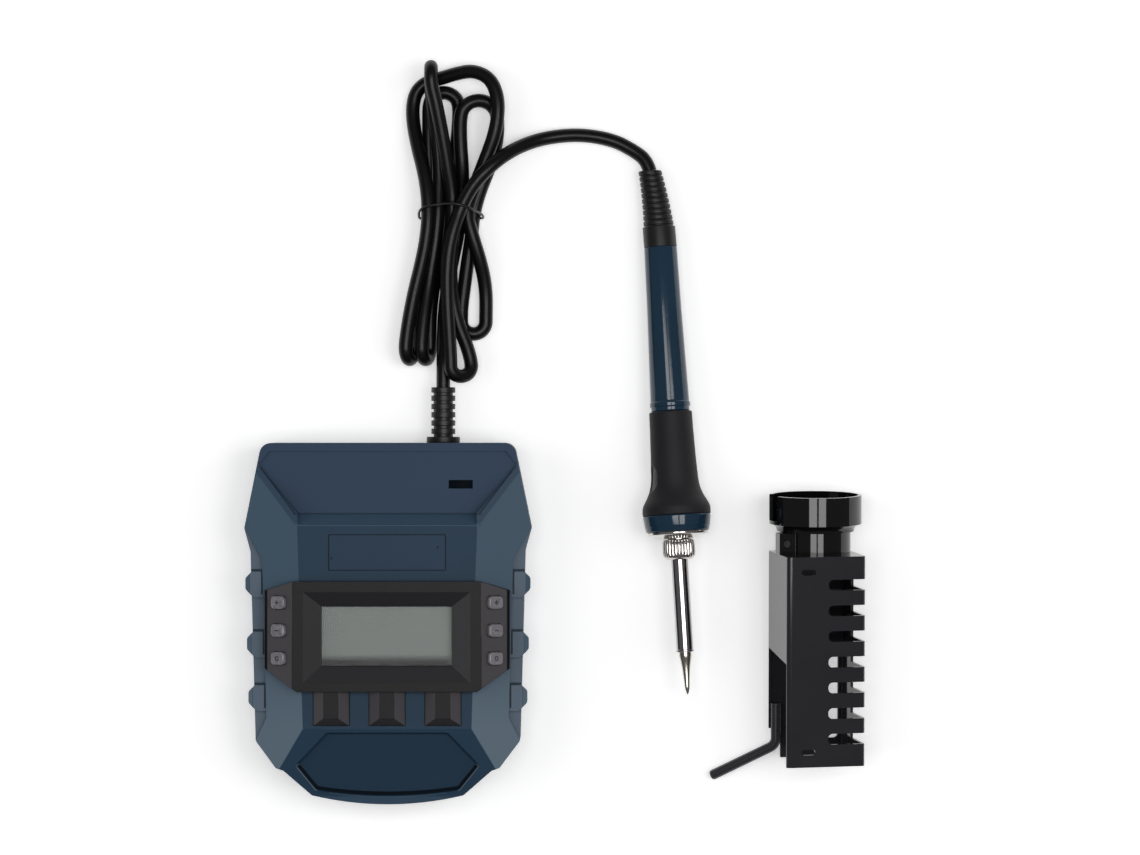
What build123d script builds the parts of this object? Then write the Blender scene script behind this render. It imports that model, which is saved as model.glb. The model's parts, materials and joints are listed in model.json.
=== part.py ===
from build123d import *
import os
from math import cos, radians, sin, tan

os.makedirs("parts", exist_ok=True)

# Driving dimensions in millimetres.
# The station stands on the table at the origin, its rear towards +Y, the iron and the holder on its right.

# Station housing
split_z = 22.0  # height of the parting line between base and cover
wall = 2.4
rear_x = 54.0
rear_y = 77.5
rear_corner = 5.0
shoulder_x = 61.5
shoulder_y = 41.0
skirt_rear_x = 58.8
skirt_rear_y = 31.0
skirt_front_x = 56.6
skirt_front_y = -50.0
flank_x = 47.8
flank_y = -61.5
chin_root_x = 44.5
chin_root_y = -62.6
chin_x = 32.4
chin_y = -73.3
front_y = -77.2
edge_round = 1.5

# Heights of the cover's surfaces
skirt_z = 29.0
deck_z = 30.0
rim_z = 31.2
panel_z = 37.0

# Raised roof: the flat panel with its two facets, the rear deck and the sloping chin
panel_rear_x = 38.4
panel_front_x = 36.0
ridge_y = 42.5
deck_x = 38.1
deck_y = 47.25
deck_corner_y = 68.5
rim_width = 3.5
facet_rear_x = 53.7
facet_rear_y = 28.0
facet_front_x = 51.8
facet_front_y = -40.0
facet_angle = 19.0
chin_break_y = -44.5
chin_angle = 12.0

# Tray in the chin
tray_top_x = 26.0
tray_top_y = -46.0
tray_side_x = 39.6
tray_side_y = -60.3
tray_low_x = 30.8
tray_low_y = -71.3
tray_front_y = -73.8
tray_depth = 2.6
tray_corner = 2.0
tray_draft = 30.0

# Slot through the rear deck
deck_slot_x = 31.2
deck_slot_y = 59.8
deck_slot_length = 10.3
deck_slot_width = 3.6

# Side lugs
lug_ys = (17.3, -8.4, -31.3)
lug_length = 12.2
lug_flat = 4.8
lug_proud = 2.6
lug_round = 1.8
lug_z = 30.8
lug_bevel = 2.0

# Name plate
plate_width = 50.3
plate_height = 15.7
plate_y = 30.8
plate_thick = 1.0
plate_gap = 0.3

# Housing screws and the bosses that they join
boss_x = 45.0
boss_rear_y = 60.0
boss_front_y = -44.0
boss_r = 4.0
screw_r = 1.45
screw_gap = 0.25
screw_head_r = 2.8
screw_head_height = 2.2
screw_seat_z = 9.0
screw_bite = 4.2
pilot_gap = 0.05

# Battery bay in the underside, open to the front
bay_width = 64.0
bay_depth = 15.0
bay_end_y = -8.0
rail_width = 3.5
rail_height = 3.0
block_width = 40.0
block_length = 11.0
block_height = 11.0
blade_count = 4
blade_pitch = 9.0
blade_thick = 0.8
blade_length = 9.0
blade_height = 6.0

# Boards and what stands on them
board_width = 76.0
board_length = 84.0
board_y = 12.0
board_thick = 1.6
board_z = 19.0
post_r = 2.5
post_x = 31.0
post_front_y = -24.0
post_rear_y = 48.0
coil_ring_r = 7.0
coil_wire_r = 3.2
capacitor_r = 4.0
capacitor_height = 11.5
sink_width = 18.0
sink_length = 8.0
sink_height = 11.0
sink_fin_gap = 2.0
buzzer_r = 6.0
buzzer_height = 5.0

# Display bezel
bezel_z = 43.0
bezel_wall = 2.2
bezel_top_y = 18.5
bezel_bottom_y = -28.5
bezel_top_x = 39.8
bezel_bottom_x = 38.2
wing_x = 52.3
wing_top_y = 14.6
wing_bottom_y = -18.7
wing_break_x = 40.2
wing_angle = 28.0
bezel_lap = 3.0  # how far the bezel laps over the edge of the cover's opening
frame_thick = 3.8
window_width = 55.4
window_height = 25.2
window_y = -4.75
slope_width = 71.2
slope_height = 38.7
slope_y = -5.25
slope_depth = 1.8
pane_lap = 1.0
pane_thick = 1.2
pane_gap = 0.05
module_width = 63.0
module_height = 33.0
module_thick = 3.5
module_gap = 0.1
leg_pitch = 23.8
leg_width = 15.2
leg_top_width = 6.8
leg_end_y = -43.0
leg_z = 41.3
leg_flank_z = 37.8
leg_sunk = 1.0
leg_gap = 0.25
leg_front_bevel = 3.0

# Buttons on the wings
button_x = 45.8
button_y = -2.3
button_pitch = 11.9
button_width = 6.6
button_height = 5.4
button_corner = 1.7
button_round = 0.7
button_proud = 2.0
button_gap = 0.3
button_travel = 0.5
button_flange = 0.5
button_flange_thick = 1.0
stem_r = 1.5
stem_length = 3.0
mark_height = 0.15
mark_width = 0.5
mark_length = 2.0
switch_size = 6.0
switch_height = 3.5
switch_free = 0.1  # room left between stem and switch at the end of the travel
plunger_r = 1.7
key_board_width = 12.0
key_board_length = 34.0
key_board_thick = 1.2
key_post_r = 1.6

# Cord gland in the rear wall
gland_x = 23.25
gland_z = 10.5
gland_flange_r = 7.2
gland_flange_thick = 2.6
gland_body_r = 5.2
gland_groove_r = 4.2
gland_length = 24.0
gland_ribs = 6
gland_neck_r = 4.0
gland_neck_gap = 0.05
gland_stop_r = 6.0
gland_stop_thick = 2.2

# Cord, its hank and the free lead
cord_d = 6.0
cord_step = 6.5  # from one strand of the hank to the next
hank_x = 26.9
hank_z = 3.9
waist_y = 176.8
waist_half = 12.0
entry_flat_y = -40.0  # where the strand from the gland has come down to the lower layer, from the waist
lead_points = (
    (39.9, 175.9, 10.4),
    (39.9, 184.4, 10.4),
    (44.2, 194.4, 9.9),
    (53.4, 204.2, 7.4),
    (69.0, 211.8, 4.3),
    (88.5, 214.0, 3.3),
    (105.5, 209.8, 3.6),
)
tie_width = 1.6
tie_thick = 0.5
tie_gap = 0.3
tie_tail = 9.0

# Iron, measured along its axis from the end of the strain relief to the tip
iron_rear = Vector(115.2, 195.3, 5.1)
iron_heading = 3.4  # degrees off the station's front direction, towards +X
iron_rise = 3.7  # degrees that the axis climbs towards the tip
boot_length = 33.3
boot_rear_r = 4.9
boot_front_r = 7.1
boot_ribs = 10
boot_groove = 0.7
boot_band = 9.0
boot_spigot = 8.0
handle_front_r = 8.4
handle_bore_r = 5.2
fit_gap = 0.05
grip_start = 104.8
grip_rear_r = 9.3
grip_front_r = 10.5
grip_flare_start = 138.0
grip_flare_end = 146.2
grip_end = 149.7
grip_core_r = 7.6
collar_r = 14.7
collar_front_r = 13.6
collar_end = 156.8
nipple_flange_r = 13.2
nipple_rim = 1.2
nipple_cone_r = 7.4
nipple_cone_end = 159.8
nipple_thread_r = 5.5
nipple_end = 165.0
nipple_bore_r = 3.3
nipple_spigot = 9.0
nut_r = 7.0
nut_end = 168.9
nut_gap = 0.3
nut_run = 0.06  # running clearance of the nut on the thread and the barrel
nut_flutes = 28
nut_flute_r = 0.42
nut_round = 1.6
barrel_r = 3.68
barrel_wall = 0.55
barrel_flange_r = 5.2
barrel_flange_thick = 0.9
barrel_end = 208.7
barrel_lip = 2.8
tip_sleeve_r = 2.75
tip_collar_r = 3.05
tip_rear = 176.0
tip_shoulder = 210.2
tip_waist = 219.0
tip_waist_r = 1.35
tip_end = 227.0
tip_end_r = 0.35
tip_bore_end = 205.0
heater_r = 1.9
heater_start = 130.0
heater_gap = 0.1
strip_width = 7.0
strip_thick = 1.6
strip_length = 42.0
stopper_r = 5.0
stopper_start = 44.0
stopper_length = 7.0

# Holder, lying on its back, measured along its axis from the open end to the cup
holder_x = 183.8
holder_y = -59.6
holder_pitch = 4.0
holder_roll = 12.0
box_width = 34.5
box_depth = 34.0
box_length = 90.0
sheet = 1.2
bend_r = 2.0
notch_count = 7
notch_pitch = 11.0
notch_height = 4.6
notch_first = 11.9
notch_start_x = 0.8
notch_wrap = 20.0
side_open_length = 44.0
side_open_slant = 4.0
back_window_left = 12.25
back_window_right = 3.25
back_window_length = 38.0
back_window_start = 8.0
tab_slot_length = 6.2
tab_slot_width = 2.4
tab_slot_x = -8.0
tab_slot_inset = 6.5
band_r = 15.2
band_wall = 1.4
band_length = 9.0
cup_r = 19.9
cup_wall = 1.5
cup_length = 15.6
cup_round = 3.2
cup_gap_angle = 40.0
cup_shift = 1.3  # how far the cup sits to the right of the box's middle
throat_r = 12.0
knuckle_width = 7.0
clamp_screw_r = 1.5
rod_r = 2.2
rod_inset = 2.9
rod_top = 24.0
rod_bend = 6.0
rod_end = Vector(139.2, -67.0, 2.5)
rod_bend_r = 5.0
rod_notch_width = 5.5
rod_notch_length = 13.0


# Planes of the sloping surfaces, each moved inward by a drop

def facet_plane(side, drop=0):
    """The side facet of the roof: it starts on the panel's edge and slopes outward."""
    run = Vector(panel_rear_x - panel_front_x, ridge_y - chin_break_y, 0).normalized()
    tilt = sin(radians(facet_angle))
    normal = (side * run.Y * tilt, -run.X * tilt, cos(radians(facet_angle)))
    corner = Vector(side * panel_rear_x, ridge_y, panel_z)
    return Plane(corner, x_dir=(0, 1, 0), z_dir=normal).offset(-drop)


def facet_z(x):
    """Height of a facet at the panel's rear edge, for bosses that reach up to it."""
    return panel_z - (x - panel_front_x) * tan(radians(facet_angle))


chin_plane = Plane(
    (0, chin_break_y, panel_z),
    x_dir=(1, 0, 0),
    z_dir=(0, -sin(radians(chin_angle)), cos(radians(chin_angle))),
)


def on_chin(x, y):
    """A point of the plan as the sloping chin's own coordinates."""
    return (x, (y - chin_break_y) / cos(radians(chin_angle)))


def wing_plane(side, x, y, drop=0):
    """A plane on the bezel's wing, its normal pointing out of the surface."""
    turn = radians(wing_angle)
    z = bezel_z - (x - wing_break_x) * tan(turn)
    return Plane(
        (side * x, y, z),
        x_dir=(cos(turn), 0, -side * sin(turn)),
        z_dir=(side * sin(turn), 0, cos(turn)),
    ).offset(-drop)


# Outlines of the station in plan

deck_corner_x = rear_x + (shoulder_x - rear_x) * (rear_y - deck_corner_y) / (rear_y - shoulder_y)

with BuildSketch() as station_outline:
    with BuildLine():
        FilletPolyline(
            (0, rear_y),
            (rear_x, rear_y),
            (shoulder_x, shoulder_y),
            (skirt_rear_x, skirt_rear_y),
            (skirt_front_x, skirt_front_y),
            (flank_x, flank_y),
            (chin_root_x, chin_root_y),
            (chin_x, chin_y),
            radius=[rear_corner, edge_round, edge_round, edge_round, edge_round, edge_round / 2],
        )
        mirror(about=Plane.YZ)
        ThreePointArc((chin_x, chin_y), (0, front_y), (-chin_x, chin_y))
    make_face()

with BuildSketch() as roof_outline:
    with BuildLine():
        FilletPolyline(
            (0, deck_y),
            (deck_x, deck_y),
            (deck_corner_x, deck_corner_y),
            (shoulder_x, shoulder_y),
            (facet_rear_x, facet_rear_y),
            (facet_front_x, facet_front_y),
            (skirt_front_x, skirt_front_y),
            (flank_x, flank_y),
            (chin_root_x, chin_root_y),
            (chin_x, chin_y),
            radius=[edge_round, 0] + [edge_round] * 5 + [edge_round / 2],
        )
        mirror(about=Plane.YZ)
        ThreePointArc((chin_x, chin_y), (0, front_y), (-chin_x, chin_y))
    make_face()

with BuildSketch() as bezel_outline:
    with BuildLine():
        Polyline(
            (0, bezel_top_y),
            (bezel_top_x, bezel_top_y),
            (wing_x, wing_top_y),
            (wing_x, wing_bottom_y),
            (bezel_bottom_x, bezel_bottom_y),
            (0, bezel_bottom_y),
        )
        mirror(about=Plane.YZ)
    make_face()


def roof_block(inset, drop, chin_drop):
    """The raised roof above the parting line, shrunk by an inset and lowered by the drops."""
    fall = Vector(0, deck_y - ridge_y, deck_z - panel_z)
    out = Vector(0, panel_z - deck_z, deck_y - ridge_y).normalized()
    start = Vector(0, ridge_y, panel_z) - out * drop
    low = start + fall * 2
    high = start - fall * 2
    with BuildPart() as block:
        with BuildSketch(Plane.XY.offset(split_z)):
            add(roof_outline.sketch)
            offset(amount=-inset, mode=Mode.REPLACE)
        extrude(amount=panel_z - drop - split_z)
        for side in (1, -1):
            split(bisect_by=facet_plane(side, drop), keep=Keep.BOTTOM)
        split(bisect_by=chin_plane.offset(-chin_drop), keep=Keep.BOTTOM)
        with BuildSketch(Plane.YZ):
            with BuildLine():
                Polyline((high.Y, high.Z), (low.Y, low.Z), (low.Y, high.Z), close=True)
            make_face()
        extrude(amount=deck_x + drop, both=True, mode=Mode.SUBTRACT)
    return block.part


roof = roof_block(0, 0, 0)
bosses = [(side * boss_x, y) for side in (1, -1) for y in (boss_rear_y, boss_front_y)]

# Top cover
with BuildPart() as top_cover:
    with BuildSketch(Plane.XY.offset(split_z)):
        add(station_outline.sketch)
    extrude(amount=skirt_z - split_z)
    # Rear block with its recessed deck
    with BuildSketch(Plane.XY.offset(split_z)):
        with BuildLine():
            Polyline(
                (0, deck_y),
                (deck_x, deck_y),
                (deck_corner_x, deck_corner_y),
                (shoulder_x, deck_corner_y),
                (shoulder_x, rear_y + rim_width),
                (0, rear_y + rim_width),
            )
            mirror(about=Plane.YZ)
        make_face()
        add(station_outline.sketch, mode=Mode.INTERSECT)
    extrude(amount=rim_z - split_z)
    with BuildSketch(Plane.XY.offset(deck_z)):
        with BuildLine():
            Polyline(
                (0, deck_y),
                (deck_x, deck_y),
                (deck_corner_x - rim_width / 4, deck_corner_y),
                (deck_corner_x - rim_width * 1.5, rear_y - rim_width),
                (0, rear_y - rim_width),
            )
            mirror(about=Plane.YZ)
        make_face()
    extrude(amount=rim_z - deck_z, mode=Mode.SUBTRACT)
    add(roof)
    # Hollow inside
    with BuildSketch(Plane.XY.offset(split_z)):
        add(station_outline.sketch)
        offset(amount=-wall, mode=Mode.REPLACE)
    extrude(amount=skirt_z - wall - split_z, mode=Mode.SUBTRACT)
    add(roof_block(wall, wall, wall + tray_depth), mode=Mode.SUBTRACT)
    # Side lugs
    for lug_y in lug_ys:
        share = (skirt_rear_y - lug_y) / (skirt_rear_y - skirt_front_y)
        lug_x = skirt_rear_x + (skirt_front_x - skirt_rear_x) * share + lug_proud
        root_x = facet_rear_x + (facet_front_x - facet_rear_x) * share - wall / 2
        flare_x = lug_x - lug_proud - wall / 2
        for side in (1, -1):
            with BuildPart(mode=Mode.PRIVATE) as lug:
                with BuildSketch(Plane.XY.offset(split_z)):
                    with BuildLine():
                        Polyline(
                            (side * root_x, lug_y - lug_length / 2),
                            (side * flare_x, lug_y - lug_length / 2),
                            (side * lug_x, lug_y - lug_flat / 2),
                            (side * lug_x, lug_y + lug_flat / 2),
                            (side * flare_x, lug_y + lug_length / 2),
                            (side * root_x, lug_y + lug_length / 2),
                            close=True,
                        )
                    make_face()
                    fillet(vertices().group_by(Axis.X)[-1 if side > 0 else 0], radius=lug_round)
                extrude(amount=lug_z - split_z)
                with BuildSketch(Plane.XZ.offset(-lug_y)):
                    with BuildLine():
                        Polyline(
                            (side * root_x, split_z),
                            (side * lug_x, split_z),
                            (side * lug_x, lug_z - lug_bevel),
                            (side * (lug_x - lug_bevel), lug_z),
                            (side * root_x, lug_z),
                            close=True,
                        )
                    make_face()
                extrude(amount=lug_length, both=True, mode=Mode.INTERSECT)
            add(lug.part)
    # Screw bosses
    for x, y in bosses:
        top = deck_z if y > deck_y else facet_z(boss_x)
        with BuildSketch(Plane.XY.offset(split_z)):
            with Locations((x, y)):
                Circle(boss_r)
        extrude(amount=top - wall / 2 - split_z)
        with BuildSketch(Plane.XY.offset(split_z)):
            with Locations((x, y)):
                Circle(screw_r + pilot_gap)
        extrude(amount=screw_bite + pilot_gap, mode=Mode.SUBTRACT)
    # Tray in the chin
    with BuildSketch(chin_plane):
        with BuildLine():
            Polyline(
                on_chin(0, tray_top_y),
                on_chin(tray_top_x, tray_top_y),
                on_chin(tray_side_x, tray_side_y),
                on_chin(tray_low_x, tray_low_y),
            )
            mirror(about=Plane.YZ)
            ThreePointArc(
                on_chin(tray_low_x, tray_low_y),
                on_chin(0, tray_front_y),
                on_chin(-tray_low_x, tray_low_y),
            )
        make_face()
        fillet(vertices(), radius=tray_corner)
    extrude(amount=-tray_depth, taper=tray_draft, mode=Mode.SUBTRACT)
    # Slot in the deck, pocket of the name plate, opening under the bezel, slots of the legs
    with BuildSketch(Plane.XY.offset(deck_z)):
        with Locations((deck_slot_x, deck_slot_y)):
            Rectangle(deck_slot_length, deck_slot_width)
    extrude(amount=skirt_z - wall * 2 - deck_z, mode=Mode.SUBTRACT)
    with BuildSketch(Plane.XY.offset(panel_z)):
        with Locations((0, plate_y)):
            RectangleRounded(plate_width, plate_height, plate_gap * 2)
    extrude(amount=-plate_thick, mode=Mode.SUBTRACT)
    with BuildSketch(Plane.XY.offset(split_z)):
        add(bezel_outline.sketch)
        offset(amount=-bezel_lap, mode=Mode.REPLACE)
    extrude(amount=bezel_z - split_z, mode=Mode.SUBTRACT)
    slot_top_y = bezel_bottom_y + bezel_lap
    slot_end_y = leg_end_y - leg_gap
    with BuildSketch(Plane.XY.offset(panel_z)):
        with Locations((0, (slot_top_y + slot_end_y) / 2)):
            with GridLocations(leg_pitch, 1, 3, 1):
                Rectangle(leg_width + leg_gap * 2, slot_top_y - slot_end_y)
    extrude(amount=-leg_sunk - leg_gap / 5, mode=Mode.SUBTRACT)
top_cover.part.label = "top_cover"
export_step(top_cover.part, "parts/top_cover.step")

# Name plate, bare, lying flush in its pocket
with BuildPart() as name_plate:
    with BuildSketch(Plane.XY.offset(panel_z - plate_thick)):
        with Locations((0, plate_y)):
            RectangleRounded(plate_width - plate_gap * 2, plate_height - plate_gap * 2, plate_gap)
    extrude(amount=plate_thick)
name_plate.part.label = "name_plate"
export_step(name_plate.part, "parts/name_plate.step")

# Base shell with the battery bay
bay_front_y = front_y - wall
bay_length = bay_end_y - bay_front_y
bay_mid_y = (bay_end_y + bay_front_y) / 2
with BuildPart() as base_shell:
    with BuildSketch():
        add(station_outline.sketch)
    extrude(amount=split_z)
    chamfer(base_shell.faces().sort_by(Axis.Z)[0].edges(), length=edge_round / 3)
    with BuildSketch(Plane.XY.offset(wall)):
        add(station_outline.sketch)
        offset(amount=-wall, mode=Mode.REPLACE)
    extrude(amount=split_z - wall, mode=Mode.SUBTRACT)
    with BuildSketch():
        with Locations((0, bay_mid_y)):
            Rectangle(bay_width + wall * 2, bay_length + wall * 2)
        add(station_outline.sketch, mode=Mode.INTERSECT)
    extrude(amount=bay_depth + wall)
    with BuildSketch():
        with Locations((0, bay_mid_y)):
            Rectangle(bay_width, bay_length)
    extrude(amount=bay_depth, mode=Mode.SUBTRACT)
    # Rails that the battery slides on
    with BuildSketch():
        for side in (1, -1):
            with Locations((side * (bay_width - rail_width) / 2, bay_mid_y)):
                Rectangle(rail_width, bay_length)
        add(station_outline.sketch, mode=Mode.INTERSECT)
    extrude(amount=rail_height)
    # Screw bosses, drilled from below
    with BuildSketch():
        with Locations(*bosses):
            Circle(boss_r)
    extrude(amount=split_z)
    with BuildSketch():
        with Locations(*bosses):
            Circle(screw_r + screw_gap)
    extrude(amount=split_z, mode=Mode.SUBTRACT)
    with BuildSketch():
        with Locations(*bosses):
            Circle(screw_head_r + screw_gap)
    extrude(amount=screw_seat_z, mode=Mode.SUBTRACT)
    # Posts under the main board
    with BuildSketch(Plane.XY.offset(bay_depth)):
        for side in (1, -1):
            with Locations((side * post_x, post_front_y)):
                Circle(post_r)
    extrude(amount=board_z - bay_depth)
    with BuildSketch(Plane.XY.offset(wall / 2)):
        for side in (1, -1):
            with Locations((side * post_x, post_rear_y)):
                Circle(post_r)
    extrude(amount=board_z - wall / 2)
    # Hole of the cord gland
    with BuildSketch(Plane.XZ.offset(-rear_y)):
        with Locations((gland_x, gland_z)):
            Circle(gland_neck_r + gland_neck_gap)
    extrude(amount=wall * 1.5, mode=Mode.SUBTRACT)
base_shell.part.label = "base_shell"
export_step(base_shell.part, "parts/base_shell.step")

# Housing screws, driven from below
with BuildPart() as housing_screws:
    with BuildSketch(Plane.XY.offset(screw_seat_z - screw_head_height)):
        with Locations(*bosses):
            Circle(screw_head_r)
    extrude(amount=screw_head_height)
    with BuildSketch(Plane.XY.offset(screw_seat_z)):
        with Locations(*bosses):
            Circle(screw_r)
    extrude(amount=split_z + screw_bite - screw_seat_z)
housing_screws.part.label = "housing_screws"
export_step(housing_screws.part, "parts/housing_screws.step")

# Battery terminal block on the bay's end wall, with its blades
block_front_y = bay_end_y - block_length
block_z = bay_depth - block_height
with BuildPart() as terminal_block:
    with BuildSketch(Plane.XY.offset(block_z)):
        with Locations((0, bay_end_y - block_length / 2)):
            Rectangle(block_width, block_length)
        with GridLocations(blade_pitch, 1, blade_count, 1):
            with Locations((0, block_front_y + block_length / 4)):
                Rectangle(blade_thick * 3, block_length / 2, mode=Mode.SUBTRACT)
    extrude(amount=block_height)
terminal_block.part.label = "terminal_block"
export_step(terminal_block.part, "parts/terminal_block.step")

with BuildPart() as terminal_blades:
    with BuildSketch(Plane.XY.offset(block_z + (block_height - blade_height) / 2)):
        with Locations((0, block_front_y + block_length / 2 - blade_length / 2)):
            with GridLocations(blade_pitch, 1, blade_count, 1):
                Rectangle(blade_thick, blade_length)
    extrude(amount=blade_height)
terminal_blades.part.label = "terminal_blades"
export_step(terminal_blades.part, "parts/terminal_blades.step")

# Main board and its parts
board_top = board_z + board_thick
with BuildPart() as main_board:
    with BuildSketch(Plane.XY.offset(board_z)):
        with Locations((0, board_y)):
            RectangleRounded(board_width, board_length, post_r)
    extrude(amount=board_thick)
main_board.part.label = "main_board"
export_step(main_board.part, "parts/main_board.step")

with BuildPart() as inductor:
    with Locations((-board_width * 0.28, board_y + board_length * 0.24, board_top + coil_wire_r)):
        Torus(coil_ring_r, coil_wire_r)
inductor.part.label = "inductor"
export_step(inductor.part, "parts/inductor.step")

with BuildPart() as capacitors:
    with BuildSketch(Plane.XY.offset(board_top)):
        with Locations((board_width * 0.3, board_y + board_length * 0.2)):
            with GridLocations(capacitor_r * 2.4, 1, 2, 1):
                Circle(capacitor_r)
    extrude(amount=capacitor_height)
capacitors.part.label = "capacitors"
export_step(capacitors.part, "parts/capacitors.step")

with BuildPart() as heat_sink:
    with BuildSketch(Plane.XY.offset(board_top)):
        with Locations((0, board_y + board_length * 0.28)):
            Rectangle(sink_width, sink_length)
            with Locations((0, sink_length / 4)):
                with GridLocations(sink_width / 4, 1, 4, 1):
                    Rectangle(sink_fin_gap, sink_length / 2, mode=Mode.SUBTRACT)
    extrude(amount=sink_height)
heat_sink.part.label = "heat_sink"
export_step(heat_sink.part, "parts/heat_sink.step")

with BuildPart() as buzzer:
    with BuildSketch(Plane.XY.offset(board_top)):
        with Locations((-board_width * 0.3, board_y - board_length * 0.1)):
            Circle(buzzer_r)
    extrude(amount=buzzer_height)
    with BuildSketch(buzzer.faces().sort_by(Axis.Z)[-1]):
        Circle(buzzer_r / 5)
    extrude(amount=-buzzer_height / 2, mode=Mode.SUBTRACT)
buzzer.part.label = "buzzer"
export_step(buzzer.part, "parts/buzzer.step")

# Display bezel: a cap with tilted wings and three legs
button_ys = [button_y + button_pitch * step for step in (1, 0, -1)]
key_board_depth = (
    bezel_wall + button_gap + button_flange_thick + stem_length + button_travel + switch_free + switch_height
)


def bezel_block(inset, top_drop, wing_drop):
    """The bezel's outer form, shrunk by an inset and lowered by the drops."""
    with BuildPart() as block:
        with BuildSketch(Plane.XY.offset(split_z)):
            add(bezel_outline.sketch)
            offset(amount=-inset, mode=Mode.REPLACE)
        extrude(amount=bezel_z - top_drop - split_z)
        for side in (1, -1):
            split(bisect_by=wing_plane(side, wing_break_x, 0, wing_drop), keep=Keep.BOTTOM)
    return block.part


with BuildPart() as display_bezel:
    add(bezel_block(0, 0, 0))
    add(bezel_block(bezel_wall, frame_thick, bezel_wall), mode=Mode.SUBTRACT)
    add(roof, mode=Mode.SUBTRACT)
    # Sloping frame round the window and the pane's pocket behind it
    with BuildSketch(Plane.XY.offset(bezel_z)):
        with Locations((0, slope_y)):
            Rectangle(slope_width, slope_height)
    with BuildSketch(Plane.XY.offset(bezel_z - slope_depth)):
        with Locations((0, window_y)):
            Rectangle(window_width, window_height)
    loft(mode=Mode.SUBTRACT)
    with BuildSketch(Plane.XY.offset(bezel_z)):
        with Locations((0, window_y)):
            Rectangle(window_width, window_height)
    extrude(amount=-frame_thick, mode=Mode.SUBTRACT)
    with BuildSketch(Plane.XY.offset(bezel_z - frame_thick)):
        with Locations((0, window_y)):
            Rectangle(window_width + pane_lap * 2, window_height + pane_lap * 2)
    extrude(amount=pane_thick + pane_gap, mode=Mode.SUBTRACT)
    # Legs with sloping flanks
    for step in (-1, 0, 1):
        leg_x = step * leg_pitch
        with BuildSketch(Plane.XZ.offset(-bezel_bottom_y - bezel_wall / 2)):
            with BuildLine():
                Polyline(
                    (leg_x - leg_width / 2, panel_z - leg_sunk),
                    (leg_x + leg_width / 2, panel_z - leg_sunk),
                    (leg_x + leg_width / 2, leg_flank_z),
                    (leg_x + leg_top_width / 2, leg_z),
                    (leg_x - leg_top_width / 2, leg_z),
                    (leg_x - leg_width / 2, leg_flank_z),
                    close=True,
                )
            make_face()
        extrude(amount=bezel_bottom_y - leg_end_y + bezel_wall / 2)
    with BuildSketch(Plane.YZ):
        with BuildLine():
            Polyline(
                (leg_end_y, leg_flank_z),
                (leg_end_y + leg_front_bevel, leg_z),
                (leg_end_y, leg_z),
                close=True,
            )
        make_face()
    extrude(amount=leg_pitch + leg_width, both=True, mode=Mode.SUBTRACT)
    # Button holes through the wings and posts for the button boards
    for side in (1, -1):
        with BuildSketch(wing_plane(side, button_x, button_y)):
            with GridLocations(1, button_pitch, 1, 3):
                RectangleRounded(button_width + button_gap * 2, button_height + button_gap * 2, button_corner)
        extrude(amount=-bezel_wall * 1.5, mode=Mode.SUBTRACT)
        # Room under the wing for the buttons' flanges
        flange_room = button_flange + button_gap
        with BuildSketch(wing_plane(side, button_x, button_y, bezel_wall)):
            with GridLocations(1, button_pitch, 1, 3):
                RectangleRounded(button_width + flange_room * 2, button_height + flange_room * 2, button_corner)
        extrude(amount=-(button_flange_thick + button_travel + button_gap * 2), mode=Mode.SUBTRACT)
        with BuildSketch(wing_plane(side, button_x, button_y, bezel_wall / 2)):
            with GridLocations(1, button_pitch, 1, 2):
                Circle(key_post_r)
        extrude(amount=-(key_board_depth - bezel_wall / 2))
display_bezel.part.label = "display_bezel"
export_step(display_bezel.part, "parts/display_bezel.step")

# Display window and the module behind it
with BuildPart() as lcd_window:
    with BuildSketch(Plane.XY.offset(bezel_z - frame_thick)):
        with Locations((0, window_y)):
            Rectangle(window_width + (pane_lap - pane_gap) * 2, window_height + (pane_lap - pane_gap) * 2)
    extrude(amount=pane_thick)
lcd_window.part.label = "lcd_window"
export_step(lcd_window.part, "parts/lcd_window.step")

with BuildPart() as lcd_module:
    with BuildSketch(Plane.XY.offset(bezel_z - frame_thick - module_gap)):
        with Locations((0, window_y)):
            Rectangle(module_width, module_height)
    extrude(amount=-module_thick)
lcd_module.part.label = "lcd_module"
export_step(lcd_module.part, "parts/lcd_module.step")

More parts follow.
